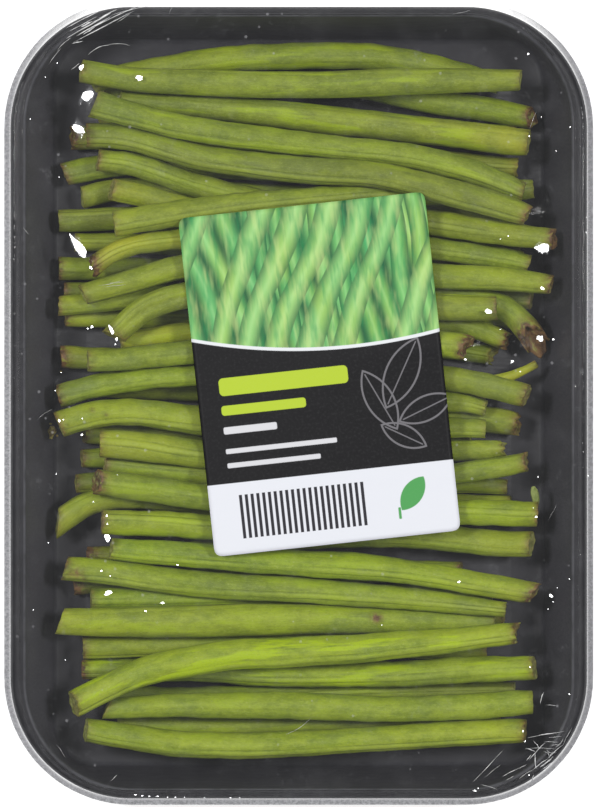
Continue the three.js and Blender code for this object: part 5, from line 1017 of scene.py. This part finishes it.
# facets: thin flat scales of taut film, each lying parallel to the film's own facet
for (px, py, ra, rb, rot, which), f in zip(GLINTS + SPECKS, FACETS + SPECK_FACETS):
    cx, cy, ra, rb, rot, sx, sy = f
    z0 = float(height(cx, cy)) + 0.07
    g = np.random.default_rng(int(px * 3 + py * 5))
    na = 18
    wob = 1 + 0.16 * np.sin(2 * np.arange(na) * 2 * math.pi / na + g.uniform(0, 6)) + 0.12 * np.sin(3 * np.arange(na) * 2 * math.pi / na + g.uniform(0, 6)) + 0.08 * np.sin(5 * np.arange(na) * 2 * math.pi / na + g.uniform(0, 6))
    start = len(pv)
    tip = 0.5 if ra + rb > 2.2 else 0.0      # the large ones taper at one end
    for up in (0.05, 0.0):
        for i in range(na):
            a = 2 * math.pi * i / na
            u, v = ra * wob[i] * math.cos(a), rb * wob[i] * math.sin(a)
            if ra < rb:
                u *= 1 - tip * max(0.0, v / rb)
            else:
                v *= 1 + tip * min(0.0, u / ra)
            dx, dy = u * math.cos(rot) + v * math.sin(rot), -u * math.sin(rot) + v * math.cos(rot)
            pv.append((cx + dx, cy + dy, z0 + sx * dx + sy * dy + up))
    pf.append([start + i for i in range(na)])
    pf.append([start + na + i for i in range(na)][::-1])
    for i in range(na):
        j = (i + 1) % na
        pf.append([start + i, start + na + i, start + na + j, start + j])
pleats = new_mesh("film_pleats", pv, pf, slots=[fold_highlight_material(), glint_material()], mat_index=[0] * folds + [1] * (len(pf) - folds))
for p in pleats.data.polygons:
    if p.index >= folds:
        p.use_smooth = False
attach(pleats, "root")

# ---------------------------------------------------------------- label
ca, sa = math.cos(math.radians(LABEL["turn"])), math.sin(math.radians(LABEL["turn"]))
NU, NV = 56, 76
hw, hh, rc = LABEL["w"] / 2, LABEL["h"] / 2, LABEL["r"]
U, W_ = np.meshgrid(np.linspace(-hw, hw, NU + 1), np.linspace(-hh, hh, NV + 1))
du, dv = (np.abs(U) - (hw - rc)) / rc, (np.abs(W_) - (hh - rc)) / rc
both = (du > 0) & (dv > 0)
sc = np.where(both, np.maximum(du, dv) / np.maximum(np.hypot(du, dv), 1e-6), 1.0)
U = np.where(both, np.sign(U) * ((hw - rc) + du * sc * rc), U)
W_ = np.where(both, np.sign(W_) * ((hh - rc) + dv * sc * rc), W_)
LX, LY = LABEL["x"] + U * ca - W_ * sa, LABEL["y"] + U * sa + W_ * ca
need = np.max([height(LX + a, LY + b) for a in (-0.7, 0, 0.7) for b in (-0.7, 0, 0.7)], axis=0) + 0.09
HL = need.copy()
for it in range(420):
    A = HL.copy()
    A[1:-1, 1:-1] = 0.25 * (HL[1:-1, :-2] + HL[1:-1, 2:] + HL[:-2, 1:-1] + HL[2:, 1:-1])
    A[0], A[-1] = 2 * A[1] - A[2], 2 * A[-2] - A[-3]
    A[:, 0], A[:, -1] = 2 * A[:, 1] - A[:, 2], 2 * A[:, -2] - A[:, -3]
    HL = np.maximum(np.minimum(A, need + 0.9), need)
nu, nvv = NU + 1, NV + 1
T_ = 0.10
V = np.vstack([np.column_stack([LX.ravel(), LY.ravel(), HL.ravel() + T_]), np.column_stack([LX.ravel(), LY.ravel(), HL.ravel()])])
idx = np.arange(nu * nvv).reshape(nvv, nu)
n0 = nu * nvv
quads, mi = [], []
for j in range(NV):
    for i in range(NU):
        a, b, c, d = idx[j, i], idx[j, i + 1], idx[j + 1, i + 1], idx[j + 1, i]
        quads.append([a, b, c, d])
        mi.append(0)
        quads.append([a + n0, d + n0, c + n0, b + n0])
        mi.append(1)
edge = list(idx[0, :-1]) + list(idx[:-1, -1]) + list(idx[-1, :0:-1]) + list(idx[:0:-1, 0])
for k, a in enumerate(edge):
    b = edge[(k + 1) % len(edge)]
    quads.append([a, a + n0, b + n0, b])
    mi.append(1)
lu = np.r_[(U + hw).ravel(), (U + hw).ravel()]
lv = np.r_[(W_ + hh).ravel(), (W_ + hh).ravel()]
label = new_mesh("label_paper", V, quads, attrs={"lu": ("FLOAT", lu), "lv": ("FLOAT", lv)}, slots=[label_material(), paper_back()], mat_index=mi)
for p in label.data.polygons:
    if len(quads) - p.index <= len(edge):
        p.use_smooth = False
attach(label, "root")
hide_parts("label")

# ---------------------------------------------------------------- crumbs of dried skin at the foot of the left wall
cv, cf = [], []
g = np.random.default_rng(5)
for cx, cy, size in ((48, 432, 1.15), (43, 436, 0.8), (53, 428, 0.75), (38, 438, 0.45), (58, 436, 0.4), (50, 424, 0.4), (553, 340, 0.45), (62, 372, 0.35)):
    z = 5.4 if cx < 300 else 6.5
    x, y = from_px(cx, cy, z)
    wallx = 56.5 + 4.5 * (z - 3.0) / 15.0
    x = max(min(x, wallx - 0.3 - size * 0.55), -(wallx - 0.3 - size * 0.55))
    na, nb = 9, 6
    start = len(cv)
    sx, sy, sz = size * g.uniform(.6, 1.0), size * g.uniform(.5, .9), size * g.uniform(.3, .5)
    cv.append((x, y, z - sz))
    for j in range(1, nb):
        for i in range(na):
            a, b = 2 * math.pi * i / na, math.pi * j / nb
            w = 1 + g.uniform(-.22, .22)
            cv.append((x + sx * w * math.cos(a) * math.sin(b), y + sy * w * math.sin(a) * math.sin(b), z - sz * math.cos(b)))
    cv.append((x, y, z + sz))
    for i in range(na):
        cf.append([start, start + 1 + (i + 1) % na, start + 1 + i])
        for j in range(nb - 2):
            a, b = start + 1 + j * na + i, start + 1 + j * na + (i + 1) % na
            cf.append([a, b, b + na, a + na])
        e0 = start + 1 + (nb - 2) * na
        cf.append([e0 + i, e0 + (i + 1) % na, start + 1 + (nb - 1) * na])
crumbs = new_mesh("crumbs", cv, cf, slots=[crumb_material()])
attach(crumbs, "root")

# a torn flap of skin standing out beside the cut end of one bean
fv, ff = [], []
na, nb = 12, 9
x0, y0 = from_px(534.8, 495.8, 12.7)
turn = math.radians(11)
g = np.random.default_rng(11)
for j in range(nb + 1):
    b = math.pi * j / nb
    for i in range(na if 0 < j < nb else 1):
        a = 2 * math.pi * i / na
        w = 1 + g.uniform(-.07, .07)
        u = 0.92 * w * math.cos(a) * math.sin(b) ** 0.8
        v = -2.2 * math.cos(b)
        h = 0.62 * w * math.sin(a) * math.sin(b) ** 0.8 - 0.30 * (v / 2.2) ** 2
        fv.append((x0 + u * math.cos(turn) - v * math.sin(turn), y0 + u * math.sin(turn) + v * math.cos(turn), 12.7 + h))
for i in range(na):
    k = (i + 1) % na
    ff.append([0, 1 + i, 1 + k])
    for j in range(nb - 2):
        p0, p1 = 1 + j * na + i, 1 + j * na + k
        ff.append([p0, p0 + na, p1 + na, p1])
    ff.append([1 + (nb - 2) * na + k, 1 + (nb - 2) * na + i, 1 + (nb - 1) * na])
flap = new_mesh("bean_skin_flap", fv, ff, slots=[flap_material()])
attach(flap, "root")

# ---------------------------------------------------------------- floor, light, camera
fl = Nodes("floor_white")
fl.set(Base_Color=(0.86, 0.86, 0.86, 1.0), Roughness=0.9, Emission_Color=(1.0, 1.0, 1.0, 1.0), Emission_Strength=0.66)
floor = new_mesh("floor", [(-1500, -1500, -0.15), (1500, -1500, -0.15), (1500, 1500, -0.15), (-1500, 1500, -0.15)], [[0, 1, 2, 3]], smooth=False, slots=[fl.mat])

scene = bpy.context.scene
world = scene.world or bpy.data.worlds.new("world")
scene.world = world
world.use_nodes = True
bg = world.node_tree.nodes.get("Background") or world.node_tree.nodes.new("ShaderNodeBackground")
bg.inputs[0].default_value = (1.0, 1.0, 1.0, 1.0)
bg.inputs[1].default_value = WORLD


def area(name, at, to, size, power, size_y=None):
    d = bpy.data.lights.new(name, "AREA")
    d.shape = "RECTANGLE"
    d.size, d.size_y = size, size_y or size
    d.energy = power
    o = bpy.data.objects.new(name, d)
    o.location = at
    o.rotation_euler = (Vector(to) - Vector(at)).to_track_quat("-Z", "Y").to_euler()
    scene.collection.objects.link(o)
    return o


for spec in LIGHTS:
    area(*spec)

cam = bpy.data.cameras.new("camera")
cam.sensor_fit = "HORIZONTAL"
cam.sensor_width = 36.0
cam.lens = 36.0 * 700.0 / (600.0 / 4.461)
cam.clip_start, cam.clip_end = 0.05, 10.0
co = bpy.data.objects.new("camera", cam)
co.location = (0.29 * MM, -0.20 * MM, (RIM_Z + 700.0) * MM)
scene.collection.objects.link(co)
scene.camera = co
scene.view_settings.view_transform = "Standard"
scene.view_settings.look = "None"
